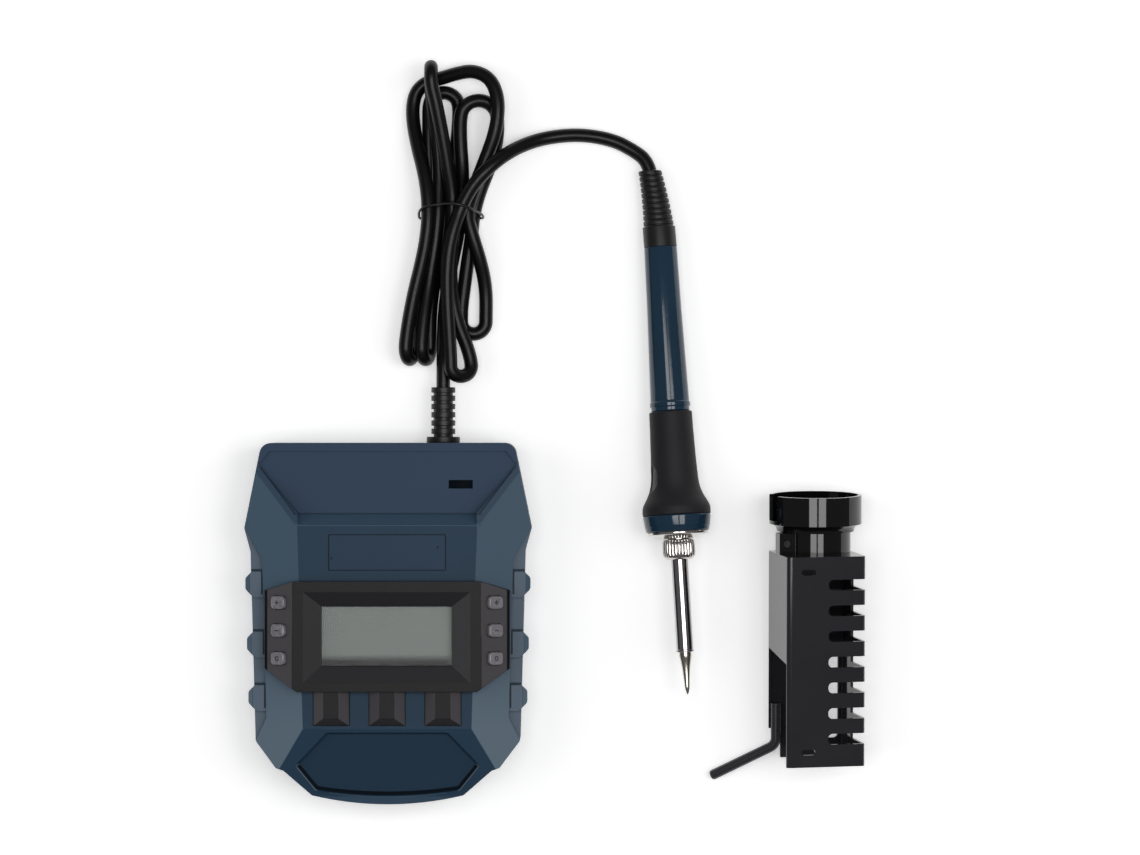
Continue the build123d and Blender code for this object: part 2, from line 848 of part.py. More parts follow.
# Button boards, tact switches and buttons
for side, hand in ((-1, "left"), (1, "right")):
    with BuildPart() as key_board:
        with BuildSketch(wing_plane(side, button_x, button_y, key_board_depth)):
            Rectangle(key_board_width, key_board_length)
        extrude(amount=-key_board_thick)
    key_board.part.label = f"{hand}_button_board"
    export_step(key_board.part, f"parts/{hand}_button_board.step")

    with BuildPart() as tact_switches:
        with BuildSketch(wing_plane(side, button_x, button_y, key_board_depth)):
            with GridLocations(1, button_pitch, 1, 3):
                Rectangle(switch_size, switch_size)
        extrude(amount=switch_height / 2)
        with BuildSketch(wing_plane(side, button_x, button_y, key_board_depth - switch_height / 2)):
            with GridLocations(1, button_pitch, 1, 3):
                Circle(plunger_r)
        extrude(amount=switch_height / 2)
    tact_switches.part.label = f"{hand}_tact_switches"
    export_step(tact_switches.part, f"parts/{hand}_tact_switches.step")

    for number, y in enumerate(button_ys, start=1):
        flange_drop = bezel_wall + button_gap
        stem_drop = flange_drop + button_flange_thick
        button_axis = Axis((0, 0, 0), wing_plane(side, button_x, y).z_dir)
        with BuildPart() as button:
            with BuildSketch(wing_plane(side, button_x, y, flange_drop)):
                RectangleRounded(button_width, button_height, button_corner)
            extrude(amount=flange_drop + button_proud)
            fillet(button.faces().sort_by(button_axis)[-1].edges(), radius=button_round)
            with BuildSketch(wing_plane(side, button_x, y, stem_drop)):
                RectangleRounded(button_width + button_flange * 2, button_height + button_flange * 2, button_corner)
            extrude(amount=button_flange_thick)
            with BuildSketch(wing_plane(side, button_x, y, stem_drop)):
                Circle(stem_r)
            extrude(amount=-stem_length)
            with BuildSketch(wing_plane(side, button_x, y, -button_proud)):
                if number < 3:
                    Rectangle(mark_length, mark_width)
                if number == 1:
                    Rectangle(mark_width, mark_length)
                if number == 3:
                    Circle(mark_length / 2)
                    Circle(mark_length / 2 - mark_width, mode=Mode.SUBTRACT)
            extrude(amount=mark_height)
        button.part.label = f"button_{hand}_{number}"
        export_step(button.part, f"parts/button_{hand}_{number}.step")

# Cord gland: stop inside the wall, flange outside, ribbed sleeve
gland_plane = Plane((gland_x, rear_y, gland_z), x_dir=(0, 1, 0), z_dir=(1, 0, 0))
gland_axis = Axis((gland_x, rear_y, gland_z), (0, 1, 0))
rib_pitch = (gland_length - gland_flange_thick) / gland_ribs
gland_profile = [
    (-wall - gland_stop_thick, 0),
    (-wall - gland_stop_thick, gland_stop_r),
    (-wall - fit_gap, gland_stop_r),
    (-wall - fit_gap, gland_neck_r),
    (fit_gap, gland_neck_r),
    (fit_gap, gland_flange_r),
    (gland_flange_thick, gland_flange_r),
]
for rib in range(gland_ribs):
    rib_start = gland_flange_thick + rib * rib_pitch
    gland_profile += [
        (rib_start, gland_groove_r),
        (rib_start + rib_pitch / 3, gland_groove_r),
        (rib_start + rib_pitch / 3, gland_body_r),
        (rib_start + rib_pitch, gland_body_r),
    ]
gland_profile += [(gland_length, 0)]
with BuildPart() as cord_gland:
    with BuildSketch(gland_plane):
        with BuildLine():
            Polyline(*gland_profile, close=True)
        make_face()
    revolve(axis=gland_axis)
cord_gland.part.label = "cord_gland"
export_step(cord_gland.part, "parts/cord_gland.step")

# Hank: nine strands side by side in two layers at the waist, joined by turns at both ends
# Each strand's column from the middle and its layers below and above the waist, in steps of the cord's spacing
strands = [(0, 0, 0), (1, 0, 0), (2, 0, 0), (-1, 0, 0), (-2, 0, 1), (-1, 1, 1), (0, 1, 1), (1, 1, 1), (2, 1, 1)]
columns = [hank_x + cord_step * strand[0] for strand in strands]
layers_below = [hank_z + cord_step * strand[1] for strand in strands]
layers_above = [hank_z + cord_step * strand[2] for strand in strands]
# Each turn's middle, its radius and where its round part begins, from the hank's middle and the waist
top_turns = [(6.75, 6.75, 40.0), (8.0, 15.0, 40.0), (-13.5, 7.0, 56.0), (8.75, 7.75, 52.0)]
low_turns = [(14.0, 6.75, -45.0), (-17.25, 6.5, -40.0), (-16.5, 6.25, -58.0), (10.0, 6.5, -64.0)]


def s_curve(start, end, tangent):
    """Two equal arcs that shift sideways from start to end, or a line where there is no shift."""
    way = Vector(*end) - Vector(*start)
    if way.cross(Vector(*tangent)).length < fit_gap:
        Line(start, end)
        return
    middle = Vector(*start) + way * 0.5
    first = TangentArc(start, middle, tangent=tangent)
    TangentArc(middle, end, tangent=first % 1)


def turn(x_in, x_out, y, reach, z, tangent):
    """A half turn made of two quarter arcs."""
    middle_x = (x_in + x_out) / 2
    first = TangentArc((x_in, y, z), (middle_x, y + reach, z), tangent=tangent)
    TangentArc((middle_x, y + reach, z), (x_out, y, z), tangent=first % 1)


gland_end = Vector(gland_x, rear_y + gland_length, gland_z)
lead_start = Vector(*lead_points[0])
up = (0, 1, 0)
down = (0, -1, 0)
with BuildLine() as hank_path:
    # In from the gland, down to the lower layer
    Line(gland_end, gland_end + Vector(0, cord_d, 0))
    s_curve(gland_end + Vector(0, cord_d, 0), (gland_x, waist_y + entry_flat_y, hank_z), up)
    s_curve((gland_x, waist_y + entry_flat_y, hank_z), (columns[0], waist_y - waist_half, hank_z), up)
    for strand in range(len(strands) - 1):
        x = columns[strand]
        next_x = columns[strand + 1]
        rising = strand % 2 == 0
        sign = 1 if rising else -1
        heading = up if rising else down
        turn_x, turn_r, turn_y = (top_turns if rising else low_turns)[strand // 2]
        z_in = layers_below[strand] if rising else layers_above[strand]
        z = layers_above[strand] if rising else layers_below[strand]
        waist_in = (x, waist_y - sign * waist_half, z_in)
        waist_out = (x, waist_y + sign * waist_half, z)
        # Along the waist, climbing where the strand changes layers
        if z == z_in:
            Line(waist_in, waist_out)
        else:
            s_curve(waist_in, waist_out, heading)
        # Out to the turn, round it and back to the next strand
        side = 1 if next_x > x else -1
        out_x = hank_x + turn_x - side * turn_r
        back_x = hank_x + turn_x + side * turn_r
        s_curve(waist_out, (out_x, waist_y + turn_y, z), heading)
        turn(out_x, back_x, waist_y + turn_y, sign * turn_r, z, heading)
        back_heading = down if rising else up
        s_curve((back_x, waist_y + turn_y, z), (next_x, waist_y + sign * waist_half, z), back_heading)
    Line((lead_start.X, waist_y - waist_half, lead_start.Z), lead_start)

with BuildPart() as cord_hank:
    with BuildSketch(Plane(gland_end, z_dir=up)):
        Circle(cord_d / 2)
    sweep(path=hank_path.wires()[0])
cord_hank.part.label = "cord_hank"
export_step(cord_hank.part, "parts/cord_hank.step")

# Iron: turned pieces about one axis
heading = radians(iron_heading)
rise = radians(iron_rise)
iron_dir = Vector(sin(heading) * cos(rise), -cos(heading) * cos(rise), sin(rise))
iron_side = Vector(cos(heading), sin(heading), 0)
iron_plane = Plane(iron_rear, x_dir=iron_dir, z_dir=iron_side)
iron_axis = Axis(iron_rear, iron_dir)


def turned(points):
    """A piece of the iron, turned about its axis from a profile of (along, radius) points."""
    with BuildPart() as piece:
        with BuildSketch(iron_plane):
            with BuildLine():
                Polyline(*points, close=True)
            make_face()
        revolve(axis=iron_axis)
    return piece


# Free lead from the hank to the iron, a tube of straight runs joined by arcs
lead_route = [Vector(*point) for point in lead_points]
lead_route += [iron_rear - iron_dir * cord_d * 1.6, iron_rear]
lead_radii = []
for before, corner, after in zip(lead_route, lead_route[1:], lead_route[2:]):
    bend = (corner - before).get_angle(after - corner)
    shorter = min((corner - before).length, (after - corner).length)
    lead_radii.append(0.45 * shorter / tan(radians(bend / 2)))
print("lead bend radii", [round(radius, 1) for radius in lead_radii])
with BuildLine() as lead_path:
    FilletPolyline(*lead_route, radius=lead_radii)
with BuildPart() as cord_lead:
    with BuildSketch(Plane(lead_start, z_dir=up)):
        Circle(cord_d / 2)
    sweep(path=lead_path.wires()[0])
cord_lead.part.label = "cord_lead"
export_step(cord_lead.part, "parts/cord_lead.step")

# How far the hank stays from itself, measured on points of its path
hank_wire = hank_path.wires()[0]
lead_wire = lead_path.wires()[0]
path_length = hank_wire.length
sample_count = int(path_length / 2)
samples = [hank_wire @ (step / sample_count) for step in range(sample_count + 1)]
apart = int(cord_d * 3 / 2)
least = min(
    (samples[i] - samples[j]).length for i in range(len(samples)) for j in range(i + apart, len(samples))
)
section = 3.14159265 * cord_d**2 / 4
print("hank length", round(path_length, 1), "least gap", round(least - cord_d, 2))
print("hank volume share", round(cord_hank.part.volume / (section * path_length), 4))
print("lead length", round(lead_wire.length, 1))
print("lead volume share", round(cord_lead.part.volume / (section * lead_wire.length), 4))

# Tie round the waist, with its two ends turned out at the left
tie_left = min(columns) - cord_d / 2 - tie_gap
tie_right = max(columns) + cord_d / 2 + tie_gap
tie_low = hank_z - cord_d / 2 - tie_gap
tie_high = max(layers_above) + cord_d / 2 + tie_gap
tie_width_in = tie_right - tie_left
tie_height_in = tie_high - tie_low
with BuildPart() as cord_tie:
    with BuildSketch(Plane.XZ.offset(-waist_y)):
        with Locations(((tie_left + tie_right) / 2, (tie_low + tie_high) / 2)):
            RectangleRounded(tie_width_in + tie_thick * 2, tie_height_in + tie_thick * 2, cord_d / 2 + tie_thick)
            RectangleRounded(tie_width_in, tie_height_in, cord_d / 2, mode=Mode.SUBTRACT)
        with Locations((tie_left - tie_tail / 2, tie_low + cord_d)):
            Rectangle(tie_tail, tie_thick * 2)
    extrude(amount=tie_width / 2, both=True)
cord_tie.part.label = "cord_tie"
export_step(cord_tie.part, "parts/cord_tie.step")

# Strain relief: ribbed rubber boot with a spigot in the handle
boot_rib = (boot_length - boot_band) / boot_ribs
boot_profile = [(0, 0)]
for rib in range(boot_ribs):
    start = rib * boot_rib
    edge_r = boot_rear_r + (boot_front_r - boot_rear_r) * (start + boot_rib) / boot_length
    boot_profile += [
        (start, edge_r),
        (start + boot_rib * 0.7, edge_r),
        (start + boot_rib * 0.7, edge_r - boot_groove),
        (start + boot_rib, edge_r - boot_groove),
    ]
boot_profile += [
    (boot_length - boot_band, boot_front_r),
    (boot_length, boot_front_r),
    (boot_length, handle_bore_r - fit_gap),
    (boot_length + boot_spigot, handle_bore_r - fit_gap),
    (boot_length + boot_spigot, 0),
]
iron_strain_relief = turned(boot_profile)
iron_strain_relief.part.label = "iron_strain_relief"
export_step(iron_strain_relief.part, "parts/iron_strain_relief.step")

# Handle: a tube with its collar at the front, two beads behind the grip
bead = boot_groove / 2
bead_at = grip_start - cord_d / 2
handle_start = boot_length + fit_gap
iron_handle = turned(
    [
        (handle_start, handle_bore_r),
        (handle_start, boot_front_r),
        (bead_at, handle_front_r),
        (bead_at, handle_front_r + bead),
        (bead_at + bead * 2, handle_front_r + bead),
        (bead_at + bead * 2, handle_front_r),
        (grip_start - fit_gap, handle_front_r),
        (grip_start - fit_gap, grip_core_r),
        (grip_end + fit_gap, grip_core_r),
        (grip_end + fit_gap, collar_r),
        (collar_end, collar_front_r),
        (collar_end, handle_bore_r),
    ]
)
iron_handle.part.label = "iron_handle"
export_step(iron_handle.part, "parts/iron_handle.step")

iron_grip = turned(
    [
        (grip_start, grip_core_r + fit_gap),
        (grip_start, grip_rear_r - bead),
        (grip_start + bead, grip_rear_r),
        (grip_flare_start, grip_front_r),
        (grip_flare_end, collar_r - bead),
        (grip_flare_end + bead * 2, collar_r),
        (grip_end, collar_r),
        (grip_end, grip_core_r + fit_gap),
    ]
)
iron_grip.part.label = "iron_grip"
export_step(iron_grip.part, "parts/iron_grip.step")

# Nipple: spigot in the handle, conical flange, thread for the nut
flange_start = collar_end + fit_gap
iron_nipple = turned(
    [
        (flange_start - nipple_spigot, nipple_bore_r),
        (flange_start - nipple_spigot, handle_bore_r - fit_gap),
        (flange_start, handle_bore_r - fit_gap),
        (flange_start, nipple_flange_r),
        (flange_start + nipple_rim, nipple_flange_r),
        (nipple_cone_end, nipple_cone_r),
        (nipple_cone_end, nipple_thread_r),
        (nipple_end, nipple_thread_r),
        (nipple_end, nipple_bore_r),
    ]
)
iron_nipple.part.label = "iron_nipple"
export_step(iron_nipple.part, "parts/iron_nipple.step")

# Barrel, clamped by its flange between nipple and nut
barrel_start = nipple_end + fit_gap
flange_end = barrel_start + barrel_flange_thick
iron_barrel = turned(
    [
        (barrel_start, barrel_r - barrel_wall),
        (barrel_start, barrel_flange_r),
        (flange_end, barrel_flange_r),
        (flange_end, barrel_r),
        (barrel_end - barrel_wall, barrel_r),
        (barrel_end, barrel_r - barrel_wall / 2),
        (barrel_end, barrel_lip),
        (barrel_end - barrel_wall, barrel_lip),
        (barrel_end - barrel_wall, barrel_r - barrel_wall),
    ]
)
iron_barrel.part.label = "iron_barrel"
export_step(iron_barrel.part, "parts/iron_barrel.step")

# Knurled nut that turns on the nipple's thread
nut_start = nipple_cone_end + nut_gap
nut_ledge = flange_end + nut_gap
nut_flute_plane = Plane(iron_rear + iron_dir * (nut_start + nut_round), x_dir=iron_side, z_dir=iron_dir)
with BuildPart() as barrel_nut:
    with BuildSketch(iron_plane):
        with BuildLine():
            Polyline(
                (nut_start, nipple_thread_r + nut_run),
                (nut_start, nut_r - nut_round / 2),
                (nut_start + nut_round / 2, nut_r),
                (nut_end - nut_round, nut_r),
                (nut_end, nut_r - nut_round),
                (nut_end, barrel_r + nut_run),
                (nut_ledge, barrel_r + nut_run),
                (nut_ledge, nipple_thread_r + nut_run),
                close=True,
            )
        make_face()
    revolve(axis=iron_axis)
    with BuildSketch(nut_flute_plane):
        with PolarLocations(nut_r, nut_flutes):
            Circle(nut_flute_r)
    extrude(amount=nut_end - nut_start, mode=Mode.SUBTRACT)
barrel_nut.part.label = "barrel_nut"
export_step(barrel_nut.part, "parts/barrel_nut.step")

# Soldering tip: a sleeve over the heater, tapering to a fine point
soldering_tip = turned(
    [
        (tip_rear, heater_r + heater_gap),
        (tip_rear, tip_collar_r),
        (tip_rear + barrel_flange_thick, tip_collar_r),
        (tip_rear + barrel_flange_thick, tip_sleeve_r),
        (tip_shoulder, tip_sleeve_r),
        (tip_waist, tip_waist_r),
        (tip_end - tip_waist_r, tip_end_r * 2),
        (tip_end, tip_end_r),
        (tip_end, 0),
        (tip_bore_end, 0),
        (tip_bore_end, heater_r + heater_gap),
    ]
)
soldering_tip.part.label = "soldering_tip"
export_step(soldering_tip.part, "parts/soldering_tip.step")

heater_end = tip_bore_end - fit_gap
heater_element = turned([(heater_start, 0), (heater_start, heater_r), (heater_end, heater_r), (heater_end, 0)])
heater_element.part.label = "heater_element"
export_step(heater_element.part, "parts/heater_element.step")

# Terminal board on which the heater's leads end, and the clamp on the cord
strip_end = heater_start - fit_gap
with BuildPart() as terminal_board:
    with BuildSketch(iron_plane):
        with Locations((strip_end - strip_length / 2, 0)):
            Rectangle(strip_length, strip_thick)
    extrude(amount=strip_width / 2, both=True)
terminal_board.part.label = "terminal_board"
export_step(terminal_board.part, "parts/terminal_board.step")

cord_stopper = turned(
    [
        (stopper_start, cord_d / 2),
        (stopper_start, stopper_r),
        (stopper_start + stopper_length, stopper_r),
        (stopper_start + stopper_length, cord_d / 2),
    ]
)
cord_stopper.part.label = "cord_stopper"
export_step(cord_stopper.part, "parts/cord_stopper.step")

# Holder: its axis runs towards the cup, its front faces up
pitch = radians(holder_pitch)
roll = radians(holder_roll)
holder_dir = Vector(0, cos(pitch), sin(pitch))
holder_front = Vector(sin(roll), -sin(pitch) * cos(roll), cos(pitch) * cos(roll))
holder_right = holder_front.cross(holder_dir) * -1
rest_z = cos(pitch) * (box_depth / 2 * cos(roll) + box_width / 2 * sin(roll))
holder_origin = Vector(holder_x, holder_y, rest_z)
holder_plane = Plane(holder_origin, x_dir=holder_right, z_dir=holder_dir)
# The cup's axis is set back so that the cup rests on the table with the box's corner
cup_start = box_length + band_length
cup_back = (rest_z + cup_start * sin(pitch) - cup_r * cos(pitch)) / (cos(pitch) * cos(roll))


def holder_point(x, back, along):
    """A point of the holder from its own coordinates: right, towards the back, along the axis."""
    return holder_origin + holder_right * x - holder_front * back + holder_dir * along


front_plane = Plane(holder_point(0, -box_depth / 2, 0), x_dir=holder_right, z_dir=holder_front)
back_plane = Plane(holder_point(0, box_depth / 2, 0), x_dir=holder_right, z_dir=holder_front)
left_plane = Plane(holder_point(-box_width / 2, 0, 0), x_dir=holder_dir, z_dir=holder_right * -1)
with BuildPart() as holder_box:
    with BuildSketch(holder_plane):
        RectangleRounded(box_width, box_depth, bend_r)
    extrude(amount=box_length)
    with BuildSketch(holder_plane):
        RectangleRounded(box_width - sheet * 2, box_depth - sheet * 2, bend_r - sheet)
    extrude(amount=box_length - sheet, mode=Mode.SUBTRACT)
    # Throat for the iron in the end plate
    with BuildSketch(holder_plane.offset(box_length - sheet * 2)):
        with Locations((cup_shift, cup_back)):
            Circle(throat_r)
    extrude(amount=sheet * 3, mode=Mode.SUBTRACT)
    # Notches round the front right corner
    notch_length = box_width - notch_start_x
    with BuildSketch(front_plane):
        for step in range(notch_count):
            with Locations((notch_start_x + notch_length / 2, notch_first + notch_pitch * step)):
                RectangleRounded(notch_length, notch_height, notch_height / 2 - sheet / 4)
    extrude(amount=-notch_wrap, mode=Mode.SUBTRACT)
    # Slots for tabs
    with BuildSketch(front_plane):
        for along in (tab_slot_inset, box_length - tab_slot_inset):
            with Locations((tab_slot_x, along)):
                SlotOverall(tab_slot_length, tab_slot_width)
    extrude(amount=-sheet * 2, mode=Mode.SUBTRACT)
    # Open part of the left side, with a slanting end, and the window in the back
    with BuildSketch(left_plane):
        with BuildLine():
            Polyline(
                (-sheet, -box_depth / 2 + bend_r),
                (side_open_length, -box_depth / 2 + bend_r),
                (side_open_length + side_open_slant, box_depth / 2 - bend_r),
                (-sheet, box_depth / 2 - bend_r),
                close=True,
            )
        make_face()
    extrude(amount=-sheet * 1.5, mode=Mode.SUBTRACT)
    with BuildSketch(back_plane):
        back_window_x = (back_window_left - back_window_right) / 2
        back_window_width = box_width - back_window_left - back_window_right
        with Locations((back_window_x, back_window_start + back_window_length / 2)):
            RectangleRounded(back_window_width, back_window_length, bend_r)
        # Notch at the corner where the rod leaves
        with Locations((-box_width / 2, 0)):
            Rectangle(rod_notch_width * 2, rod_notch_length * 2)
    extrude(amount=bend_r * 2, mode=Mode.SUBTRACT)
holder_box.part.label = "holder_box"
export_step(holder_box.part, "parts/holder_box.step")

# Clamp band with its knuckle on the end plate
band_plane = holder_plane.offset(box_length)
knuckle_middle = holder_point(cup_shift - band_r, cup_back - band_r / 2, box_length + band_length / 2)
knuckle_plane = Plane(knuckle_middle, x_dir=holder_dir, z_dir=holder_front)
with BuildPart() as holder_band:
    with BuildSketch(band_plane):
        with Locations((cup_shift, cup_back)):
            Circle(band_r)
            with Locations((-band_r, -band_r / 2)):
                Rectangle(knuckle_width, knuckle_width)
            Circle(band_r - band_wall, mode=Mode.SUBTRACT)
    extrude(amount=band_length)
    with BuildSketch(knuckle_plane):
        Circle(clamp_screw_r + screw_gap)
    extrude(amount=knuckle_width, both=True, mode=Mode.SUBTRACT)
holder_band.part.label = "holder_band"
export_step(holder_band.part, "parts/holder_band.step")

# Clamp screw in the knuckle
with BuildPart() as clamp_screw:
    with BuildSketch(knuckle_plane):
        Circle(clamp_screw_r)
    extrude(amount=knuckle_width / 2 - screw_gap * 2, both=True)
clamp_screw.part.label = "clamp_screw"
export_step(clamp_screw.part, "parts/clamp_screw.step")

# Cup: a drawn ring, open at one side, rounded in at its foot
cup_foot = holder_point(cup_shift, cup_back, cup_start)
cup_plane = Plane(cup_foot, x_dir=holder_dir, z_dir=holder_right)
cup_axis = Axis(cup_foot, holder_dir)
with BuildPart() as holder_cup:
    with BuildSketch(cup_plane):
        with BuildLine():
            foot = cup_round + fit_gap
            Polyline(
                (fit_gap, band_r - band_wall),
                (fit_gap, cup_r - cup_round),
            )
            RadiusArc((fit_gap, cup_r - cup_round), (foot, cup_r), -cup_round)
            Polyline(
                (foot, cup_r),
                (cup_length, cup_r),
                (cup_length, cup_r - cup_wall),
                (foot, cup_r - cup_wall),
            )
            RadiusArc((foot, cup_r - cup_wall), (fit_gap + cup_wall, cup_r - cup_round), cup_round - cup_wall)
            Polyline(
                (fit_gap + cup_wall, cup_r - cup_round),
                (fit_gap + cup_wall, band_r - band_wall),
                (fit_gap, band_r - band_wall),
            )
        make_face()
    revolve(axis=cup_axis)
    # Gap in the cup's wall at the left
    with BuildSketch(holder_plane.offset(cup_start + cup_round * 1.5)):
        with Locations((cup_shift - cup_r, cup_back)):
            Rectangle(cup_r, cup_r * sin(radians(cup_gap_angle / 2)) * 2)
    extrude(amount=cup_length, mode=Mode.SUBTRACT)
holder_cup.part.label = "holder_cup"
export_step(holder_cup.part, "parts/holder_cup.step")

# Bent rod, seated on the back plate inside the box and reaching out of the open side
rod_x = -box_width / 2 + rod_inset
rod_back = box_depth / 2 - sheet - rod_r - fit_gap
with BuildLine() as rod_path:
    FilletPolyline(
        holder_point(rod_x, rod_back, rod_top),
        holder_point(rod_x, rod_back, rod_bend),
        rod_end,
        radius=rod_bend_r,
    )
with BuildPart() as holder_rod:
    with BuildSketch(Plane(holder_point(rod_x, rod_back, rod_top), z_dir=holder_dir * -1)):
        Circle(rod_r)
    sweep(path=rod_path.wires()[0])
holder_rod.part.label = "holder_rod"
export_step(holder_rod.part, "parts/holder_rod.step")
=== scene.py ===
import json
from math import atan2, cos, hypot, pi, radians, sin

import bmesh
import bpy
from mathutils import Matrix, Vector


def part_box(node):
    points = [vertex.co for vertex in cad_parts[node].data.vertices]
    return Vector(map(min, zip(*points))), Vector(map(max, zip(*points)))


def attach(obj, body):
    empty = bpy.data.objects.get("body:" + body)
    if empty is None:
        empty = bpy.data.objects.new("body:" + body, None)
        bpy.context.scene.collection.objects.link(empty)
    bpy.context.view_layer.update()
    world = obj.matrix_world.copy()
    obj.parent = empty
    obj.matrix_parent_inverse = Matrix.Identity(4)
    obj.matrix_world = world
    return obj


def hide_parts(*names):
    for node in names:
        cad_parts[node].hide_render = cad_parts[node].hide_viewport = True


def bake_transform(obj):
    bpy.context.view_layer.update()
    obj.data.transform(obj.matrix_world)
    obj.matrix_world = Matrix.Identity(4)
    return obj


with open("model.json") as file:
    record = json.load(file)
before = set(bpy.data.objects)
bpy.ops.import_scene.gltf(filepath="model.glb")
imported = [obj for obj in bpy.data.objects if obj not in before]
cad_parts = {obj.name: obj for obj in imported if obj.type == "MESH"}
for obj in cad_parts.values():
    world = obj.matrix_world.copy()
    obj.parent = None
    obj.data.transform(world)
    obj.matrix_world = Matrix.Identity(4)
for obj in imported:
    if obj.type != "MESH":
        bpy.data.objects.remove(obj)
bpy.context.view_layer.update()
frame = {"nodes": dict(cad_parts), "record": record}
nodes = frame["nodes"]
bodies = frame["record"]["behaviour"]["bodies"]
node_body = {node: body for body, members in bodies.items() for node in members}
MM = 0.001
RIGHT, LEFT, REAR, FRONT, UP = (1, 0, 0), (-1, 0, 0), (0, 1, 0), (0, -1, 0), (0, 0, 1)
SMOOTH_ANGLE = 40


def mm(*point):
    """A place given in millimetres."""
    return Vector(point) * MM


def add_object(name, data):
    item = bpy.data.objects.new(name, data)
    bpy.context.collection.objects.link(item)
    return item


# Camera, straight above the group
camera_height = 2.0
camera_data = bpy.data.cameras.new("camera")
camera_data.sensor_width = 36.0
camera_data.lens = 145.36
camera_data.clip_end = 20.0
camera = add_object("camera", camera_data)
camera.location = (0.078, 0.0841, camera_height)
bpy.context.scene.camera = camera


# Helpers for meshes

def mesh_piece(name, points, faces, body=None, angle=SMOOTH_ANGLE):
    """A piece made of points and faces, smooth where it bends less than the angle, riding on a body if one is given."""
    mesh = bpy.data.meshes.new(name)
    mesh.from_pydata([tuple(p) for p in points], [], faces)
    build = bmesh.new()
    build.from_mesh(mesh)
    bmesh.ops.recalc_face_normals(build, faces=build.faces)
    build.to_mesh(mesh)
    build.free()
    for polygon in mesh.polygons:
        polygon.use_smooth = True
    mesh.set_sharp_from_angle(angle=radians(angle))
    piece = add_object(name, mesh)
    if body:
        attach(piece, body)
    return piece


def ring_faces(rings, count, closed=False):
    """Quads between rings of points, with end caps unless the run is closed."""
    faces = []
    for ring in range(rings if closed else rings - 1):
        low = ring * count
        high = (ring + 1) % rings * count
        for i in range(count):
            j = (i + 1) % count
            faces.append((low + i, low + j, high + j, high + i))
    if not closed:
        faces.append(tuple(range(count - 1, -1, -1)))
        faces.append(tuple(range((rings - 1) * count, rings * count)))
    return faces


def tube(name, path, radii, count, body=None, angle=SMOOTH_ANGLE):
    """A round bar along a path, its rings carried along without twist, with a radius for each point of the path."""
    points = []
    side = None
    last = len(path) - 1
    for i, here in enumerate(path):
        way = (path[min(i + 1, last)] - path[max(i - 1, 0)]).normalized()
        if side is None:
            side = way.orthogonal().normalized()
        side = (side - way * side.dot(way)).normalized()
        up = way.cross(side)
        for k in range(count):
            turn = 2 * pi * k / count
            points.append(here + (side * cos(turn) + up * sin(turn)) * radii[i])
    return mesh_piece(name, points, ring_faces(len(path), count), body, angle)


def spline_points(name, route, resolution):
    """Points read from a smooth spline whose control points are the route."""
    data = bpy.data.curves.new(name, "CURVE")
    data.dimensions = "3D"
    spline = data.splines.new("NURBS")
    spline.points.add(len(route) - 1)
    for point, place in zip(spline.points, route):
        point.co = (*place, 1.0)
    spline.order_u = 3
    spline.use_endpoint_u = True
    spline.resolution_u = resolution
    holder = add_object(name, data)
    mesh = bpy.data.meshes.new_from_object(holder)
    points = [vertex.co.copy() for vertex in mesh.vertices]
    bpy.data.objects.remove(holder)
    bpy.data.meshes.remove(mesh)
    bpy.data.curves.remove(data)
    return points


def stand_in(node):
    """Hides a CAD node, so that the piece made in its place shows instead."""
    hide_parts(node)


# Iron axis, from the rear of its strain relief towards the tip
iron_rear = mm(115.2, 195.3, 5.1)
heading = radians(3.4)
rise = radians(3.7)
iron_dir = Vector((sin(heading) * cos(rise), -cos(heading) * cos(rise), sin(rise)))
iron_side = Vector((cos(heading), sin(heading), 0))
iron_up = -iron_side.cross(iron_dir)

# Cord: out of the gland, through the tied hank, over to the iron's strain relief; places in mm
cord_d = 6.0
cord_sides = 16
floor_z = 3.1
waist_y = 176.8
waist_z = floor_z + 1.1
gland_exit = (23.25, 101.5, 10.5)
boot_bend = 2.6
boot_length = 33.3


def boot_shift(s):
    """How far the strain relief leans towards the cord, at a place along it."""
    rest = max(0.0, 1 - s / boot_length)
    return iron_side * (-boot_bend * rest * rest * MM)


def loop(x, y, radius, start, end, heights):
    """Control points round a flat turn of the hank, from one angle to another, at the heights given."""
    step = (end - start) / len(heights)
    reach = radius / cos(radians(step / 2))
    angles = [radians(start + step * (i + 0.5)) for i in range(len(heights))]
    return [(x + reach * cos(angle), y + reach * sin(angle), z) for angle, z in zip(angles, heights)]


def fold(x0, z0, x1, z1, y, sign, count=4):
    """Control points of a turn that folds over, from a strand at one height to the strand under or over it."""
    radius = hypot(x1 - x0, z1 - z0) / 2
    reach = radius / cos(pi / (2 * count))
    along_x, along_z = (x0 - x1) / 2 / radius, (z0 - z1) / 2 / radius
    points = []
    for i in range(count):
        angle = pi * (i + 0.5) / count
        out = reach * cos(angle)
        points.append((
            (x0 + x1) / 2 + along_x * out, y + sign * reach * sin(angle), (z0 + z1) / 2 + along_z * out,
        ))
    return points


